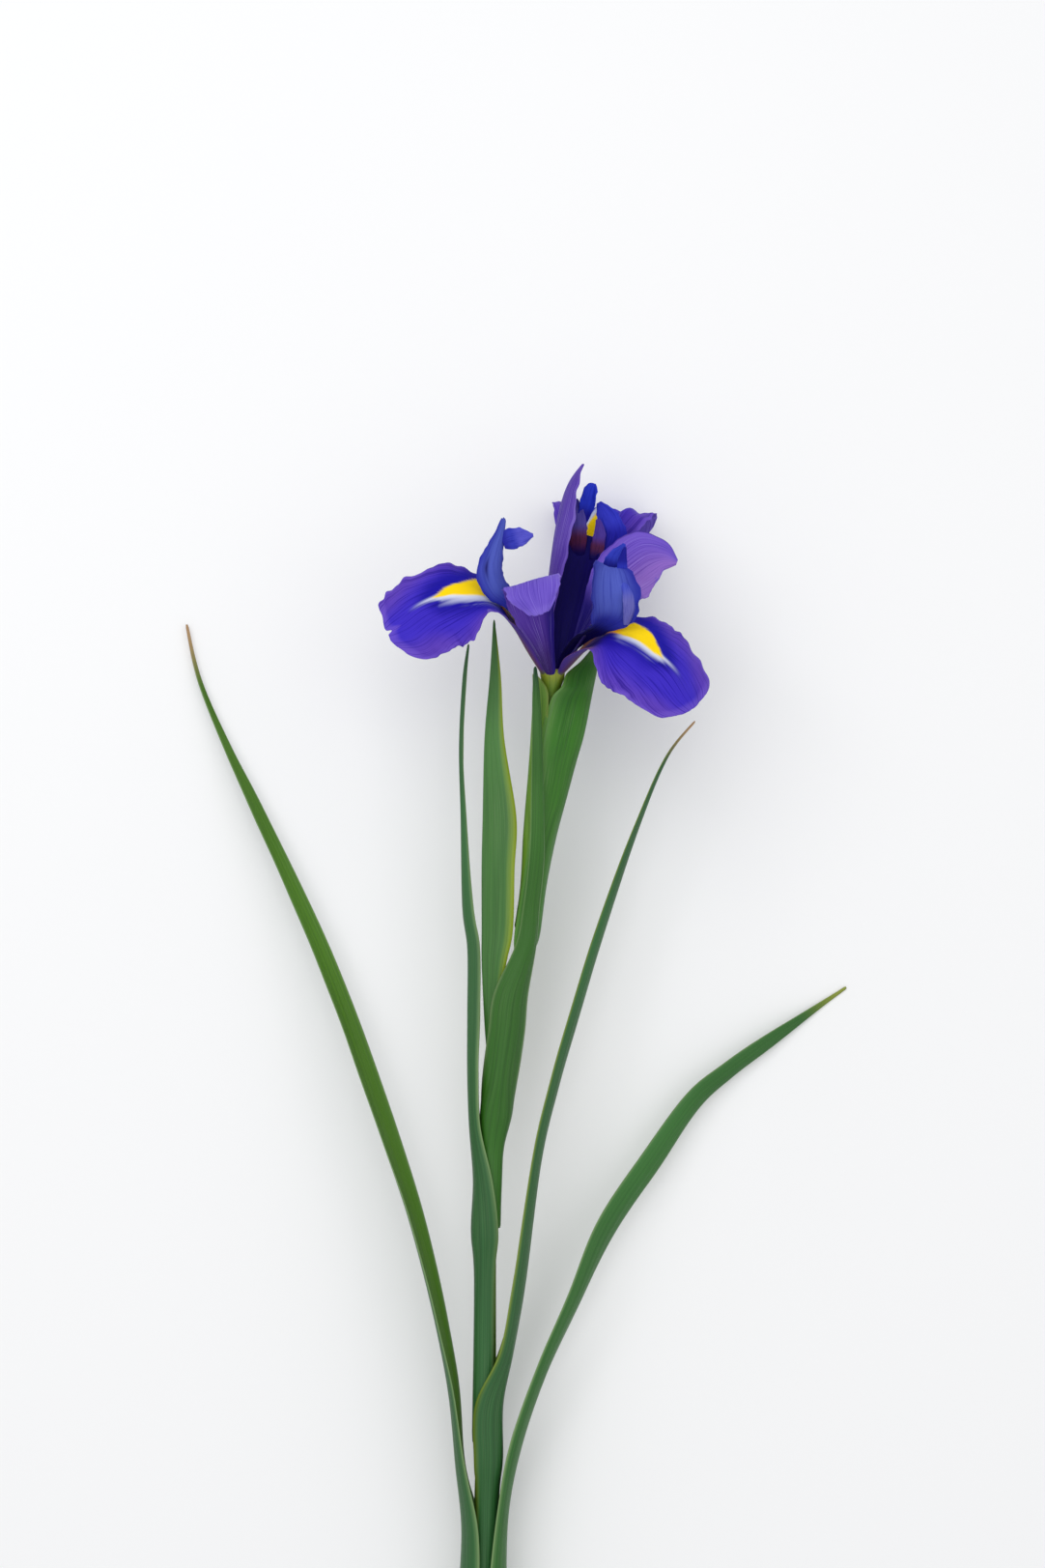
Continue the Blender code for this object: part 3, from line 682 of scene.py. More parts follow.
def spathe_inner_rows():
    rows = []
    for y, radius, first, last in SPATHE_INNER_SECTIONS:
        rows.append(arc_row(stem_at(y)[0], radius, first, last, LEAF_COLUMNS))
    return np.array(rows)


def leaf_paint(sheet, face, rim, tip):
    """One side of a leaf: its face, a pale rim along the margins and a drying tip."""
    colour = blend(face, face * 1.35, ramp(wobble(sheet.t * 9.0, 1.0, 1.0, 2.3), 0.0, 1.0) * 0.5)
    colour = blend(colour, rim, ramp(np.abs(sheet.s), 0.86, 1.0))
    colour = blend(colour, tip, ramp(sheet.t, 0.94, 1.0))
    return with_veins(colour, 0.8)


def make_leaf(name, rows, outer_is_upper, outer, inner, rim, tip, skin=LEAF_SKIN):
    """A leaf over its packed one. The length of its name seeds its unevenness."""
    seed = len(name)
    sheet = Sheet(rows, LEAF_STEPS)
    sheet.veins(LEAF_VEIN_HEIGHT, 15.0, seed)
    wave = wobble(sheet.t * sheet.length, seed, 0.11, 0.23)
    sheet.lift(LEAF_WAVE_HEIGHT * wave * ramp(np.abs(sheet.s), 0.4, 1.0))
    outside = leaf_paint(sheet, outer, rim, tip)
    inside = leaf_paint(sheet, inner, rim, tip)
    upper, under = (outside, inside) if outer_is_upper else (inside, outside)
    sheet_object(name + "_skin", sheet, LEAF_SKIN_THICKNESS, upper, under, skin, replaces=name)


def make_greenery():
    make_leaf("leaf_right", leaf_rows(LEAF_RIGHT_SHEATH, LEAF_RIGHT_BLADE, LEAF_RIGHT_WAYS), True,
              rgb(46, 102, 38), DARK_GREEN, PALE_RIM, rgb(150, 160, 60))
    make_leaf("leaf_left", leaf_rows(LEAF_LEFT_SHEATH, LEAF_LEFT_BLADE, LEAF_LEFT_WAYS), False,
              BLUE_GREEN, OLIVE_GREEN, PALE_RIM, TAN_TIP)
    make_leaf("leaf_middle", leaf_rows(LEAF_MIDDLE_SHEATH, LEAF_MIDDLE_BLADE, LEAF_MIDDLE_WAYS), True,
              BLUE_GREEN, OLIVE_GREEN, rgb(120, 140, 40), TAN_TIP)
    make_leaf("leaf_thin_upright", leaf_rows(LEAF_THIN_SHEATH, LEAF_THIN_BLADE), False,
              BLUE_GREEN, BRIGHT_GREEN, PALE_RIM, BLUE_GREEN)
    make_leaf("leaf_front_upright", leaf_rows(LEAF_FRONT_SHEATH, LEAF_FRONT_BLADE), True,
              TEAL_GREEN, DARK_GREEN, PALE_RIM, TEAL_GREEN)
    make_leaf("leaf_broad_upright", leaf_rows(LEAF_BROAD_SHEATH, LEAF_BROAD_BLADE), False,
              rgb(62, 112, 48), BRIGHT_GREEN, YELLOW_GREEN, DARK_GREEN)
    make_leaf("spathe_outer", leaf_rows(SPATHE_OUTER_SHEATH, SPATHE_OUTER_BLADE), True,
              rgb(50, 110, 22), BRIGHT_GREEN, rgb(96, 144, 60), rgb(96, 144, 60), SPATHE_SKIN)
    make_leaf("spathe_inner", spathe_inner_rows(), False,
              rgb(96, 138, 36), YELLOW_GREEN, rgb(130, 150, 60), rgb(120, 140, 60),
              SPATHE_SKIN)


# ---------------- round pieces

OVARY_PROFILE = (
    (-56.6, 2.0),
    (-52.0, 2.6),
    (-42.0, 3.0),
    (-28.0, 3.0),
    (-18.0, 2.4),
    (-10.0, 1.9),
    (-5.0, 2.0),
    (-1.5, 2.9),
    (0.6, 3.4),
    (2.0, 3.5),
    (3.0, 3.0),
)
ROUND_SIDES = 36
RIB_DEPTH = 0.02
DOME_HEIGHT = 0.15
STEM_TOP = -57.0
STEM_RINGS = 90
STEM_RIBS = 9
TUBE_STEPS = 6
TUBE_RIBS = 6
# The stem's lowest ring is drawn in to this part of its radius, and the full width starts this far above it.
CUT_RING = 0.9
CUT_BEVEL = 0.4


def round_object(name, rings, paint, ribs, replaces):
    """A closed ribbed body through (centre, radius) rings, flat at the foot and with a low dome on top."""
    turns = np.linspace(0.0, 360.0, ROUND_SIDES + 1)[:-1]
    rib = 1.0 + RIB_DEPTH * np.cos(np.radians(turns) * ribs)[:, None]
    rows = []
    for centre, radius in rings:
        ring = arc_row((0.0, 0.0, 0.0), radius, 0.0, 360.0, ROUND_SIDES)[:-1]
        rows.append(np.asarray(centre) + ring * rib)
    grid = np.array(rows)
    count = len(grid)
    ends = np.array([grid[0].mean(axis=0), grid[-1].mean(axis=0) + (0.0, DOME_HEIGHT, 0.0)])
    faces = []
    for i in range(count - 1):
        for j in range(ROUND_SIDES):
            k = (j + 1) % ROUND_SIDES
            low, high = i * ROUND_SIDES, (i + 1) * ROUND_SIDES
            faces.append((low + j, low + k, high + k, high + j))
    last = (count - 1) * ROUND_SIDES
    foot, top = count * ROUND_SIDES, count * ROUND_SIDES + 1
    for j in range(ROUND_SIDES):
        k = (j + 1) % ROUND_SIDES
        faces.append((foot, k, j))
        faces.append((top, last + j, last + k))
    part = np.repeat(np.arange(count) / (count - 1), ROUND_SIDES)
    # The place across folds back on itself half way round, so that it has no seam.
    around = np.tile(1.0 - np.abs(turns / 180.0 - 1.0), count)
    places = np.concatenate([np.stack([around, part], axis=1), ((0.5, 0.0), (0.5, 1.0))])
    colours = paint(places[:, 1])
    colours = np.concatenate([colours, np.full((len(colours), 1), 0.8)], axis=1)
    points = place_all(np.concatenate([grid.reshape(-1, 3), ends]))
    painted_object(name, points, faces, places, colours, STEM_SKIN, replaces)


def stem_paint(t):
    cut = blend(rgb(206, 214, 150), rgb(96, 132, 52), ramp(t, 0.0, 0.015))
    return blend(cut, rgb(128, 150, 30), ramp(t, 0.5, 0.9))


def tube_paint(t):
    green = blend(rgb(104, 138, 40), rgb(146, 152, 44), ramp(t, 0.6, 0.9))
    return blend(green, rgb(92, 62, 120), ramp(t, 0.945, 0.985))


def make_round_pieces():
    rings = [stem_at(y) for y in np.linspace(STEM_LINE[-1][1], STEM_TOP, STEM_RINGS)]
    cut_centre, cut_radius = rings[0]
    rings.insert(0, (cut_centre, cut_radius * CUT_RING))
    rings[1] = (cut_centre + (0.0, CUT_BEVEL, 0.0), cut_radius)
    round_object("stem_skin", rings, stem_paint, STEM_RIBS, "stem")
    rings = [(stem_at(y)[0], radius) for y, radius in smooth(OVARY_PROFILE, TUBE_STEPS)]
    round_object("ovary_skin", rings, tube_paint, TUBE_RIBS, "ovary_tube")


# ---------------- flower

PETAL_COLUMNS = 60
PETAL_STEPS = 14
PETAL_SKIN_THICKNESS = 0.4
VEIN_HEIGHT = 0.04
RIM_HEIGHT = 0.7
PETAL_RIM_RADIUS = 2.7
STYLE_RIM_RADIUS = 1.15
FALL_RIM_SPAN = 44.0
STANDARD_RIM_SPAN = 40.0
STYLE_RIM_SPAN = 74.0
LEFT_ANGLE = 200.0
RIGHT_ANGLE = -40.0
BACK_ANGLE = 78.0
STANDARD_BACK_LEFT_ANGLE = 140.0
STANDARD_FRONT_ANGLE = -100.0
STANDARD_RIGHT_ANGLE = 20.0

# Midribs of (x, y, z, half width, curl), each with the way its last margin faces: at the foot, and then once
# it has turned.
FALL_LEFT = (
    (-4, 3, 2, 2.8, 60),
    (-10, 12, 5, 5, 50),
    (-17, 22, 9, 8, 15),
    (-26, 23, 12, 14, -15),
    (-36, 19.5, 15, 14.5, -20),
    (-42.5, 15, 17, 13.5, -15),
    (-47.5, 12.5, 17, 7.5, -10),
)
FALL_LEFT_WAYS = ((0.2, 0.0, 1.0), (0.1, -0.8, 0.5))
FALL_RIGHT = (
    (4, 2.6, 3, 3, 60),
    (9, 7.4, 8, 8.5, 30),
    (15.6, 11.2, 13, 9.5, 20),
    (23, 9, 18, 16, -15),
    (32, 2, 21, 15, -20),
    (37.5, -5.5, 22, 12, -15),
    (40, -9, 22, 6.5, -10),
)
FALL_RIGHT_WAYS = ((0.5, 0.3, -0.8), (0.5, 0.6, -0.6))
FALL_BACK = (
    (1, 4, -5, 1.5, 50),
    (4, 16, -13, 3, 50),
    (7, 34, -21, 4.5, 40),
    (12, 46, -27, 13, 10),
    (15, 51.5, -32, 16, -10),
    (17, 47, -37, 15, -15),
    (19, 36, -40, 8, -10),
)
FALL_BACK_WAYS = ((-1.0, 0.0, 0.0), (-1.0, 0.1, 0.0))
STANDARD_BACK_LEFT = (
    (-2.5, 4, -3, 1.3, 30),
    (-2, 18, -5, 5, 40),
    (-0.5, 32, -7, 7.5, 40),
    (2, 47, -9, 8.5, 35),
    (5, 57, -9.5, 6, 25),
    (9, 63, -10, 1, 10),
)
STANDARD_BACK_LEFT_WAYS = ((0.0, 0.0, 1.0), (0.25, 0.0, 1.0))
STANDARD_FRONT = (
    (-1, 3, 5, 2, 40),
    (-3, 10, 12, 4, 45),
    (-5.5, 18, 17, 7, 40),
    (-6.5, 25, 22, 8.2, 25),
    (-6, 27.5, 27, 8.5, -10),
    (-5.5, 23.5, 31, 7.5, -20),
    (-3.5, 17.5, 31, 2.5, -10),
)
STANDARD_FRONT_WAYS = ((1.0, 0.0, 0.0), (1.0, 0.3, 0.0))
STANDARD_RIGHT = (
    (3.5, 3, -1, 1, -30),
    (6.5, 9, -1, 1.8, -35),
    (12, 19, -1, 4.5, -25),
    (18, 27, -3, 8.5, -15),
    (22.5, 31, -4, 10, -10),
    (28, 34.8, -4, 9.4, -8),
    (32.6, 35.4, -4, 5, -5),
    (36.2, 34, -4, 0.8, 0),
)
STANDARD_RIGHT_WAYS = ((0.3, -0.1, 0.9), (0.6, -0.8, 0.2))
STYLE_LEFT = (
    (-2.5, 8, 3, 1.8, -20),
    (-7, 16.5, 6, 2.4, -25),
    (-11.5, 22, 9, 3.2, -30),
    (-15.2, 26.3, 12.5, 5.4, -55),
    (-16.8, 31, 13.5, 5.7, -60),
    (-16.3, 36, 12, 3.8, -45),
    (-15, 41.5, 10, 1.9, -35),
    (-14, 46.5, 8, 0.8, -20),
)
STYLE_LEFT_WAYS = ((-0.3, 0.0, 0.9), (-0.8, -0.1, 0.6))
STYLE_RIGHT = (
    (3.5, 7, 3, 2, -25),
    (8, 12, 8, 3.4, -30),
    (13, 15, 13, 4.6, -38),
    (16, 18.4, 17, 8.2, -55),
    (16.2, 24, 19.5, 9.8, -65),
    (16.1, 29, 18.5, 8, -60),
    (16.4, 32, 16, 5, -45),
)
STYLE_RIGHT_WAYS = ((0.8, 0.0, -0.6), (0.9, 0.0, -0.4))
STYLE_BACK = (
    (2, 6, -2, 3.2, 60),
    (4.5, 20, -7, 6.2, 50),
    (7.5, 33, -12, 6.4, 45),
    (9.6, 40, -14.5, 5.2, 40),
    (10.3, 42.5, -15.5, 4, 35),
)
STYLE_BACK_WAYS = ((-1.0, 0.0, 0.0), (-1.0, 0.2, 0.0))

# Small crests and lobes on top of the style arms: name, midrib, ways, and colours at the root, low and high.
CRESTS = (
    ("style_left_lobe",
     ((-14.5, 39.3, 10, 2.2, 10), (-12, 40.3, 10, 3.3, 15), (-8.8, 40.9, 9.5, 2.8, 15),
      (-5.6, 41.3, 9, 0.4, 5)),
     ((0, -1, 0.2), (0.2, -1, 0.2)), (34, 36, 150), (52, 58, 176), (84, 84, 196)),
    ("style_right_crest",
     ((17.3, 28.5, 14.5, 3.6, -15), (18, 34, 15, 3.3, -25), (20.6, 38.6, 14, 0.4, -10)),
     ((1, -0.2, -0.2), (1, 0, -0.2)), (16, 14, 110), (20, 24, 132), (48, 62, 186)),
    ("style_right_crest_edge",
     ((19.9, 28.5, 15.8, 1.6, -10), (20, 33.5, 16.2, 1.4, -25), (20.8, 37.6, 15.2, 0.3, -5)),
     ((1, 0, 0), (1, -0.3, 0)), (30, 34, 160), (40, 50, 176), (22, 24, 140)),
    ("style_right_lobe",
     ((20, 31, 15.8, 1.4, -30), (21.8, 25.5, 19.4, 2.2, -45), (22.2, 20, 19.2, 2.3, -45),
      (21, 15.2, 16, 0.8, -25)),
     ((1, 0, -0.3), (1, 0, -0.3)), (60, 72, 180), (70, 82, 190), (104, 104, 182)),
    ("style_back_hook",
     ((7.6, 43, -12.4, 0.8, -20), (9.2, 48, -13, 2, -40), (10.3, 51.5, -12.8, 2.9, -65),
      (10.8, 54.2, -12.8, 2.9, -75), (11.7, 56.5, -13.5, 1.8, -60), (12.3, 57.4, -14.5, 0.4, -20)),
     ((1, 0, 0), (1, -0.2, 0)), (84, 70, 176), (26, 20, 140), (38, 56, 196)),
    ("style_back_crest_left",
     ((7.4, 36, -13.2, 2, 15), (7.4, 41.5, -12, 2.8, 20), (7.6, 46, -12.2, 2.7, 20),
      (7.5, 49.5, -12.6, 1.8, 15), (7, 53, -13.5, 0.5, 5)),
     ((1, 0, 0), (1, 0, 0)), (14, 2, 84), (88, 32, 68), (84, 74, 160)),
    ("style_back_crest_right",
     ((12.4, 35, -12, 1.6, 15), (13.4, 40, -11.8, 2.1, 20), (13.9, 43.5, -12, 1.7, 20),
      (13.4, 47, -12.6, 0.6, 10)),
     ((1, 0, 0), (1, 0.2, 0)), (14, 2, 84), (88, 36, 74), (78, 56, 150)),
    ("style_back_ruffle",
     ((15.5, 38, -13, 2.8, 10), (17.6, 42.5, -13.5, 4.4, 15), (16.2, 47.5, -14, 3.6, 15),
      (13.6, 52, -14.5, 0.8, 5)),
     ((1, -0.2, 0), (1, 0.2, 0)), (20, 14, 130), (28, 26, 156), (48, 54, 188)),
)

VIOLET_BLUE = rgb(60, 42, 190)
VIOLET = rgb(92, 62, 180)
PALE_VIOLET = rgb(116, 88, 202)
# Deep blue beside the signal: partly the fall's own colour, partly painted shade of the hollow next to the
# signal's ridge.
DEEP_BLUE_AND_VALLEY_SHADE = rgb(22, 10, 156)
SIGNAL = rgb(255, 216, 0)
SIGNAL_ORANGE = rgb(255, 170, 0)
HALO = rgb(216, 222, 240)
HAFT_BROWN = rgb(96, 58, 92)
HAFT_CREAM = rgb(168, 164, 112)
NIGHT = rgb(14, 2, 88)
SLATE = rgb(78, 92, 186)
SLATE_DARK = rgb(44, 50, 160)


def petal_sheet(angle, radius, span, stations, ways):
    """A petal from its foot on the rim of the tube, with the foot in the order of the midrib's columns."""
    rows = swept_rows(ways, stations, PETAL_COLUMNS)
    foot = arc_row((0.0, RIM_HEIGHT, 0.0), radius, angle - span / 2, angle + span / 2, PETAL_COLUMNS)
    straight = np.linalg.norm(foot[0] - rows[0][0]) + np.linalg.norm(foot[-1] - rows[0][-1])
    crossed = np.linalg.norm(foot[0] - rows[0][-1]) + np.linalg.norm(foot[-1] - rows[0][0])
    if crossed < straight:
        foot = foot[::-1]
    return Sheet(np.concatenate([foot[None], rows]), PETAL_STEPS)


def petal_object(name, sheet, face, back, towards, skin):
    """A petal over its packed one, with its face on the side that looks this way."""
    first, second = sides(sheet, face, back, towards)
    sheet_object(name + "_skin", sheet, PETAL_SKIN_THICKNESS, first, second, skin, replaces=name)


def signal_paint(sheet, tongue, halo_side, seed):
    """The upper side of a fall: a yellow tongue in a white halo, then blue to violet. The tongue's rows are
    (t, middle, half width), with the middle in millimetres from the midrib."""
    s, t, across = sheet.s, sheet.t, sheet.across
    tongue = np.array(tongue)
    start, stop = tongue[0, 0], tongue[-1, 0]
    middle = np.interp(t, tongue[:, 0], tongue[:, 1])
    reach = np.interp(t, tongue[:, 0], tongue[:, 2])
    feather = wobble(across * 2.6, seed, 1.0, 2.3, 4.1)
    away = np.abs(across - middle) - reach + np.maximum(t - stop, 0.0) * sheet.length + 0.3 * feather
    colour = blend(VIOLET_BLUE, VIOLET, ramp(np.abs(s) + 0.15 * wobble(t * 9.0, seed, 1.0, 2.1), 0.35, 0.95))
    colour = blend(colour, PALE_VIOLET, ramp(sheet.margin(), 0.86, 1.0) * 0.6)
    # Darkens towards the tongue: partly the fall's own deep blue, partly painted shade of the hollow beside
    # the raised signal.
    colour = blend(DEEP_BLUE_AND_VALLEY_SHADE, colour, ramp(away, 2.0, 9.0))
    halo = ramp(away, 3.6 + 1.6 * feather, 0.2) * ramp((across - middle) * halo_side, -0.4, 1.2)
    halo = halo * ramp(t, start + 0.01, start + 0.09)
    streak = ramp(t, stop + 0.14, stop) * ramp(np.abs(across - middle), 1.1, 0.2) * ramp(t, stop - 0.1, stop)
    colour = blend(colour, HALO, np.maximum(halo, streak * 0.85))
    yellow = blend(SIGNAL_ORANGE, SIGNAL, ramp(t, start, start + 0.07))
    colour = blend(colour, yellow, ramp(away, 0.45, -0.25))
    foot = blend(rgb(40, 20, 110), rgb(140, 90, 60), ramp(np.abs(s), 0.5, 0.9))
    colour = blend(colour, foot, ramp(t, start + 0.01, start - 0.06))
    return with_veins(colour, ramp(away, 0.6, 5.0) * 0.85)


def fall_under_paint(sheet, start):
    """The under side of a fall: brown and cream along the haft, violet on the blade."""
    s, t = sheet.s, sheet.t
    blade = blend(rgb(70, 56, 176), rgb(110, 88, 190), ramp(np.abs(s), 0.3, 1.0))
    haft = blend(HAFT_BROWN, rgb(74, 46, 140), ramp(np.abs(s), 0.2, 0.9))
    haft = blend(haft, HAFT_CREAM, ramp(np.abs(s), 0.14, 0.02) * 0.7)
    colour = blend(haft, blade, ramp(t, start - 0.05, start + 0.12))
    return with_veins(blend(rgb(120, 130, 60), colour, ramp(t, 0.0, 0.05)), 0.6)


def make_fall(name, angle, stations, ways, tongue, halo_side, towards, shape, seed):
    sheet = petal_sheet(angle, PETAL_RIM_RADIUS, FALL_RIM_SPAN, stations, ways)
    shape(sheet)
    upper = signal_paint(sheet, tongue, halo_side, seed)
    under = fall_under_paint(sheet, tongue[0][0])
    petal_object(name, sheet, upper, under, towards, FALL_SKIN)


FALL_VEINS = 40.0
GROOVE_DEPTH = 0.6
GROOVE_WIDTH = 2.5


def shape_fall_left(sheet):
    sheet.round_tip(0.08, waves=0.006, seed=1.0, notch_at=-0.05, notch=0.05)
    sheet.groove(GROOVE_DEPTH, GROOVE_WIDTH)
    sheet.veins(VEIN_HEIGHT, FALL_VEINS, 2.0)
    sheet.ruffle(1.0, 1.0, 0.55, 1.1, 1.9)
    sheet.scallop(0.06, 2.0, 0.9, 1.7)
    sheet.notch(side=1.0, at=0.5, width=0.04, depth=0.42)


def shape_fall_right(sheet):
    sheet.round_tip(0.10, power=2.2, waves=0.004, seed=5.0)
    sheet.groove(GROOVE_DEPTH, GROOVE_WIDTH)
    sheet.veins(VEIN_HEIGHT, FALL_VEINS, 6.0)
    sheet.ruffle(0.7, 5.0, 0.5, 1.2, 1.7)
    sheet.scallop(0.03, 6.0, 0.8, 1.9)


def shape_fall_back(sheet):
    sheet.round_tip(0.10, waves=0.006, seed=8.0)
    sheet.veins(VEIN_HEIGHT, FALL_VEINS, 9.0)
    sheet.ruffle(0.6, 8.0, 0.6, 1.3)
    sheet.scallop(0.05, 9.0, 0.9, 1.9)
    waves = wobble(sheet.s * 13.0, 3.0, 1.0, 1.8) * ramp(np.abs(sheet.s), 1.0, 0.8)
    sheet.lift(0.9 * waves * ramp(sheet.t, 0.55, 0.7))


def make_falls():
    make_fall("fall_left", LEFT_ANGLE, FALL_LEFT, FALL_LEFT_WAYS,
              ((0.38, -0.5, 1.2), (0.43, -3.0, 3.0), (0.5, -3.9, 3.7), (0.59, -3.0, 2.4), (0.66, -3.0, 1.6),
               (0.73, -2.6, 0.0)),
              1.0, (0, 1, 1), shape_fall_left, 3.0)
    make_fall("fall_right", RIGHT_ANGLE, FALL_RIGHT, FALL_RIGHT_WAYS,
              ((0.38, 4.0, 1.0), (0.45, 5.5, 3.5), (0.55, 5.4, 2.9), (0.65, 3.3, 1.3), (0.7, 2.7, 0.0)),
              -1.0, (0, 1, 1), shape_fall_right, 7.0)
    make_fall("fall_back", BACK_ANGLE, FALL_BACK, FALL_BACK_WAYS,
              ((0.4, 0.0, 1.5), (0.5, 0.0, 3.0), (0.6, 0.0, 2.5), (0.72, 0.0, 0.0)),
              1.0, (0, 1, 0), shape_fall_back, 11.0)


def plain_petal(sheet, low, high, edge, strength):
    colour = blend(low, high, ramp(sheet.t, 0.15, 0.75))
    return with_veins(blend(colour, edge, ramp(sheet.margin(), 0.82, 1.0) * 0.7), strength)


def make_standard_back_left():
    sheet = petal_sheet(STANDARD_BACK_LEFT_ANGLE, PETAL_RIM_RADIUS, STANDARD_RIM_SPAN,
                        STANDARD_BACK_LEFT, STANDARD_BACK_LEFT_WAYS)
    sheet.veins(VEIN_HEIGHT, 24.0, 3.0)
    sheet.ruffle(0.6, 3.0, 0.5, 1.1)
    outside = plain_petal(sheet, rgb(66, 38, 130), rgb(84, 56, 162), rgb(106, 80, 180), 0.7)
    inside = plain_petal(sheet, rgb(30, 14, 110), rgb(70, 46, 164), rgb(96, 72, 184), 0.6)
    petal_object("standard_back_left", sheet, outside, inside, (-1, 0, 0), STANDARD_SKIN)


def make_standard_front():
    sheet = petal_sheet(STANDARD_FRONT_ANGLE, PETAL_RIM_RADIUS, STANDARD_RIM_SPAN,
                        STANDARD_FRONT, STANDARD_FRONT_WAYS)
    sheet.round_tip(0.02, power=2.0, waves=0.006, seed=13.0)
    sheet.veins(VEIN_HEIGHT, 28.0, 13.0)
    sheet.ruffle(0.5, 13.0, 0.9, 1.7)
    sheet.scallop(0.07, 14.0, 1.5, 3.1)
    t = sheet.t
    outside = blend(rgb(56, 30, 104), rgb(84, 54, 158), ramp(t, 0.1, 0.5))
    outside = blend(outside, rgb(40, 22, 130), ramp(sheet.s, 0.2, 0.8) * ramp(t, 0.7, 0.5))
    outside = blend(outside, rgb(112, 86, 192), ramp(t, 0.60, 0.70))
    inside = plain_petal(sheet, rgb(30, 14, 110), rgb(108, 84, 194), rgb(124, 102, 204), 0.7)
    outside = with_veins(outside, 0.9)
    petal_object("standard_front", sheet, outside, inside, (0, -0.5, 1), STANDARD_SKIN)


def make_standard_right():
    sheet = petal_sheet(STANDARD_RIGHT_ANGLE, PETAL_RIM_RADIUS, STANDARD_RIM_SPAN,
                        STANDARD_RIGHT, STANDARD_RIGHT_WAYS)
    sheet.veins(0.035, 36.0, 23.0)
    sheet.ruffle(0.4, 23.0, 0.5, 1.2)
    sheet.scallop(0.04, 24.0, 1.3, 2.9)
    sheet.notch(side=1.0, at=0.84, width=0.1, depth=0.4)
    s, t = sheet.s, sheet.t
    face = blend(rgb(28, 14, 112), rgb(112, 84, 196), ramp(t, 0.4, 0.62))
    face = blend(face, rgb(142, 104, 196), ramp(s, -0.6, 0.4) * ramp(t, 0.45, 0.7))
    # Painted shadow of the right style's bulb: darker violet over the lower part of this side.
    face = blend(face, rgb(74, 48, 150), ramp(s, 0.1, 0.5) * ramp(t, 0.68, 0.6))
    face = blend(face, rgb(62, 42, 140), ramp(-s, 0.93, 0.99) * ramp(t, 0.72, 0.8))
    back = plain_petal(sheet, rgb(70, 48, 150), rgb(110, 84, 196), rgb(120, 92, 200), 0.7)
    face = with_veins(face, 0.7)
    petal_object("standard_right", sheet, face, back, (0, 0, 1), STANDARD_SKIN)


SLIT_HALF_WIDTH = 0.1
SLIT_HALF_LENGTH = 0.045


def make_style(name, angle, stations, ways, low, high, stalk, slit_at, seed):
    """A style arm: a dark stalk up to this t, a lighter face above it, and one dark slit at this (s, t)."""
    sheet = petal_sheet(angle, STYLE_RIM_RADIUS, STYLE_RIM_SPAN, stations, ways)
    sheet.round_tip(0.03, waves=0.01, seed=seed)
    sheet.veins(VEIN_HEIGHT, 16.0, seed)
    sheet.ruffle(0.4, seed, 0.9, 1.8)
    sheet.scallop(0.08, seed, 1.1, 2.3)
    face = blend(NIGHT, low, ramp(sheet.t, stalk - 0.15, stalk))
    face = blend(face, high, ramp(sheet.t, stalk, stalk + 0.12) * ramp(np.abs(sheet.s), 1.0, 0.3))
    slit_across = (sheet.s - slit_at[0]) / SLIT_HALF_WIDTH
    slit_along = (sheet.t - slit_at[1]) / SLIT_HALF_LENGTH
    face = blend(face, NIGHT, 0.85 * np.exp(-slit_across ** 2 - slit_along ** 2))
    inside = with_veins(blend(NIGHT, SLATE_DARK, ramp(sheet.t, 0.5, 0.95)), 0.4)
    petal_object(name, sheet, with_veins(face, 0.6), inside, (0, 0, 1), STYLE_SKIN)


def make_styles():
    make_style("style_left", LEFT_ANGLE, STYLE_LEFT, STYLE_LEFT_WAYS, SLATE_DARK, SLATE,
               stalk=0.5, slit_at=(0.45, 0.71), seed=2.0)
    make_style("style_right", RIGHT_ANGLE, STYLE_RIGHT, STYLE_RIGHT_WAYS, SLATE_DARK, SLATE,
               stalk=0.6, slit_at=(-0.95, 0.9), seed=5.0)
    make_style("style_back", BACK_ANGLE, STYLE_BACK, STYLE_BACK_WAYS, NIGHT, rgb(20, 10, 100),
               stalk=0.8, slit_at=(0.0, 0.95), seed=33.0)
    for index, (name, stations, ways, root, low, high) in enumerate(CRESTS):
        sheet = Sheet(swept_rows(ways, stations, PETAL_COLUMNS), PETAL_STEPS)
        sheet.veins(VEIN_HEIGHT, 12.0, index)
        sheet.ruffle(0.4, index, 1.2, 2.3)
        sheet.scallop(0.14, index, 1.9, 3.7)
        paint = blend(rgb(*root), rgb(*low), ramp(sheet.t, 0.05, 0.3))
        paint = with_veins(blend(paint, rgb(*high), ramp(sheet.t, 0.32, 0.6)), 0.7)
        sheet_object(name, sheet, PETAL_SKIN_THICKNESS, paint, paint, STYLE_SKIN)


# Stamens, as (x, y, z, half width) from the foot of the filament to the tip of the anther.
STAMENS = {
    "stamen_left": (
        (-3.4, 6, 2.2, 0.5),
        (-7.4, 12.4, 4.3, 0.5),
        (-10.5, 16.8, 5.9, 0.5),
        (-12, 18.8, 6.7, 0.8),
        (-14, 21.6, 7.8, 0.8),
        (-15, 22.9, 8.4, 0.5),
    ),
    "stamen_right": (
        (3.7, 5, 2.6, 0.5),
        (6.2, 7.8, 5.2, 0.5),
        (9.5, 12.8, 8.4, 0.6),
        (11.4, 15, 10, 1.1),
        (14.4, 18, 12.4, 1.1),
        (15.8, 19.4, 13.2, 0.6),
    ),
    "stamen_back": (
        (2.4, 8, -4.6, 0.5),
        (4.2, 17, -9, 0.5),
        (6, 26, -13, 0.6),
        (6.5, 29, -14.5, 1.1),
        (8.2, 37, -17.5, 1.1),
        (9, 40.5, -19, 0.6),
    ),
}


STAMEN_COLUMNS = 8
STAMEN_STEPS = 8
STAMEN_THICKNESS = 0.8
ANTHER_SWELL = 0.18


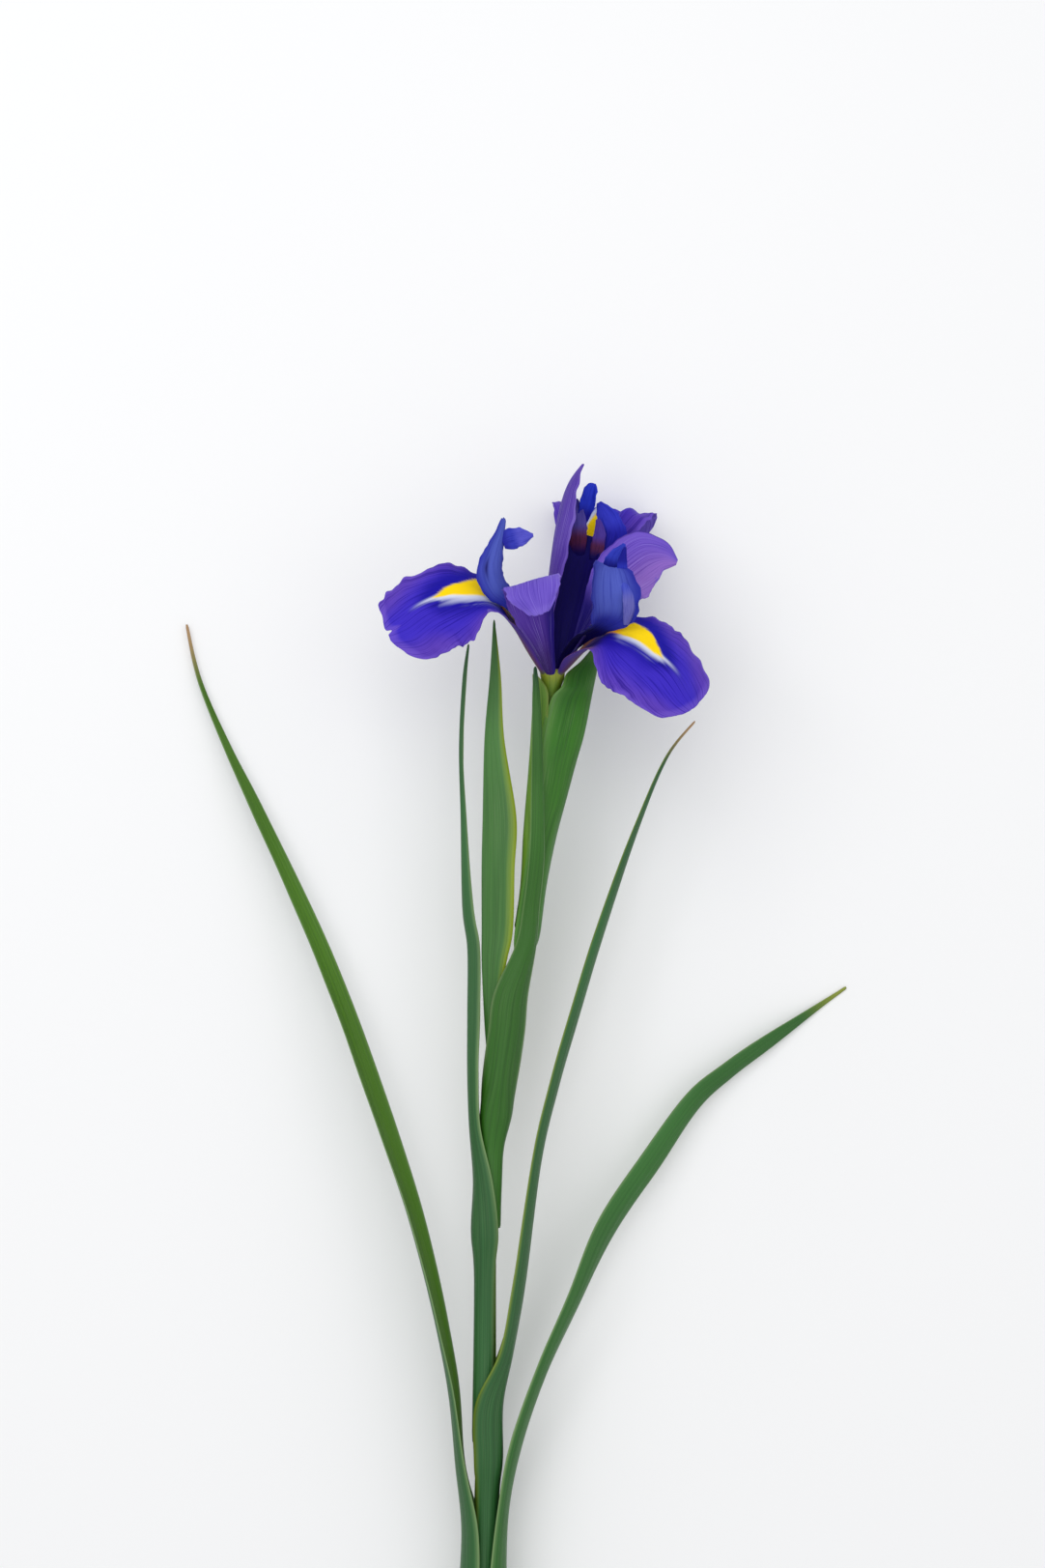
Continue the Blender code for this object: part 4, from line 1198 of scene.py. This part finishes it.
def make_stamens():
    for name, line in STAMENS.items():
        rows = []
        for x, y, z, half in line:
            outward = np.array((x, 0.0, z)) / math.hypot(x, z)
            side = np.cross(outward, (0.0, 1.0, 0.0))
            parts = np.linspace(-1.0, 1.0, STAMEN_COLUMNS + 1)
            rows.append([np.array((x, y, z)) + side * half * part for part in parts])
        sheet = Sheet(np.array(rows), STAMEN_STEPS)
        sheet.lift(ANTHER_SWELL * np.cos(sheet.s * math.pi) * ramp(sheet.t, 0.5, 0.6))
        colour = blend(rgb(44, 26, 110), rgb(214, 196, 130), ramp(sheet.t, 0.5, 0.6))
        paint = with_veins(colour, 0.5)
        sheet_object(name + "_skin", sheet, STAMEN_THICKNESS, paint, paint, STAMEN_SKIN,
                     replaces=name)


# ---------------- stage

FLOOR_HALF_SIDE = 6.0
FLOOR_ROUGHNESS = 0.9
FLOOR_SPECULAR = 0.0
FLOOR_COLOUR = (0.9, 0.905, 0.915, 1.0)
WORLD_COLOUR = (1.0, 1.0, 1.0, 1.0)
WORLD_STRENGTH = 0.7
LIGHT_TARGET = Vector((0.0, 0.12, 0.03))
# Lights as (name, place, watts, size), in metres.
LIGHTS = (
    ("key", (-0.3, 0.4, 0.95), 4.2, 0.9),
    ("fill", (0.5, 0.1, 1.0), 1.3, 0.9),
)


def make_floor():
    mesh = bpy.data.meshes.new("floor")
    side = FLOOR_HALF_SIDE
    corners = [(-side, -side, 0), (side, -side, 0), (side, side, 0), (-side, side, 0)]
    mesh.from_pydata(corners, [], [(0, 1, 2, 3)])
    floor = bpy.data.objects.new("floor", mesh)
    bpy.context.scene.collection.objects.link(floor)
    paper = Nodes("floor_paper", FLOOR_ROUGHNESS, FLOOR_SPECULAR)
    paper.shader.inputs["Base Color"].default_value = FLOOR_COLOUR
    mesh.materials.append(paper.material)


def make_lights():
    world = bpy.data.worlds.new("studio")
    bpy.context.scene.world = world
    world.use_nodes = True
    background = world.node_tree.nodes["Background"]
    background.inputs["Color"].default_value = WORLD_COLOUR
    background.inputs["Strength"].default_value = WORLD_STRENGTH
    for name, where, energy, size in LIGHTS:
        data = bpy.data.lights.new(name, "AREA")
        data.energy = energy
        data.size = size
        light = bpy.data.objects.new(name, data)
        light.location = Vector(where)
        light.rotation_mode = "QUATERNION"
        light.rotation_quaternion = (LIGHT_TARGET - light.location).to_track_quat("-Z", "Y")
        bpy.context.scene.collection.objects.link(light)
    bpy.context.scene.view_settings.view_transform = "Standard"


make_greenery()
make_round_pieces()
make_falls()
make_standard_back_left()
make_standard_front()
make_standard_right()
make_styles()
make_stamens()
make_floor()
make_lights()
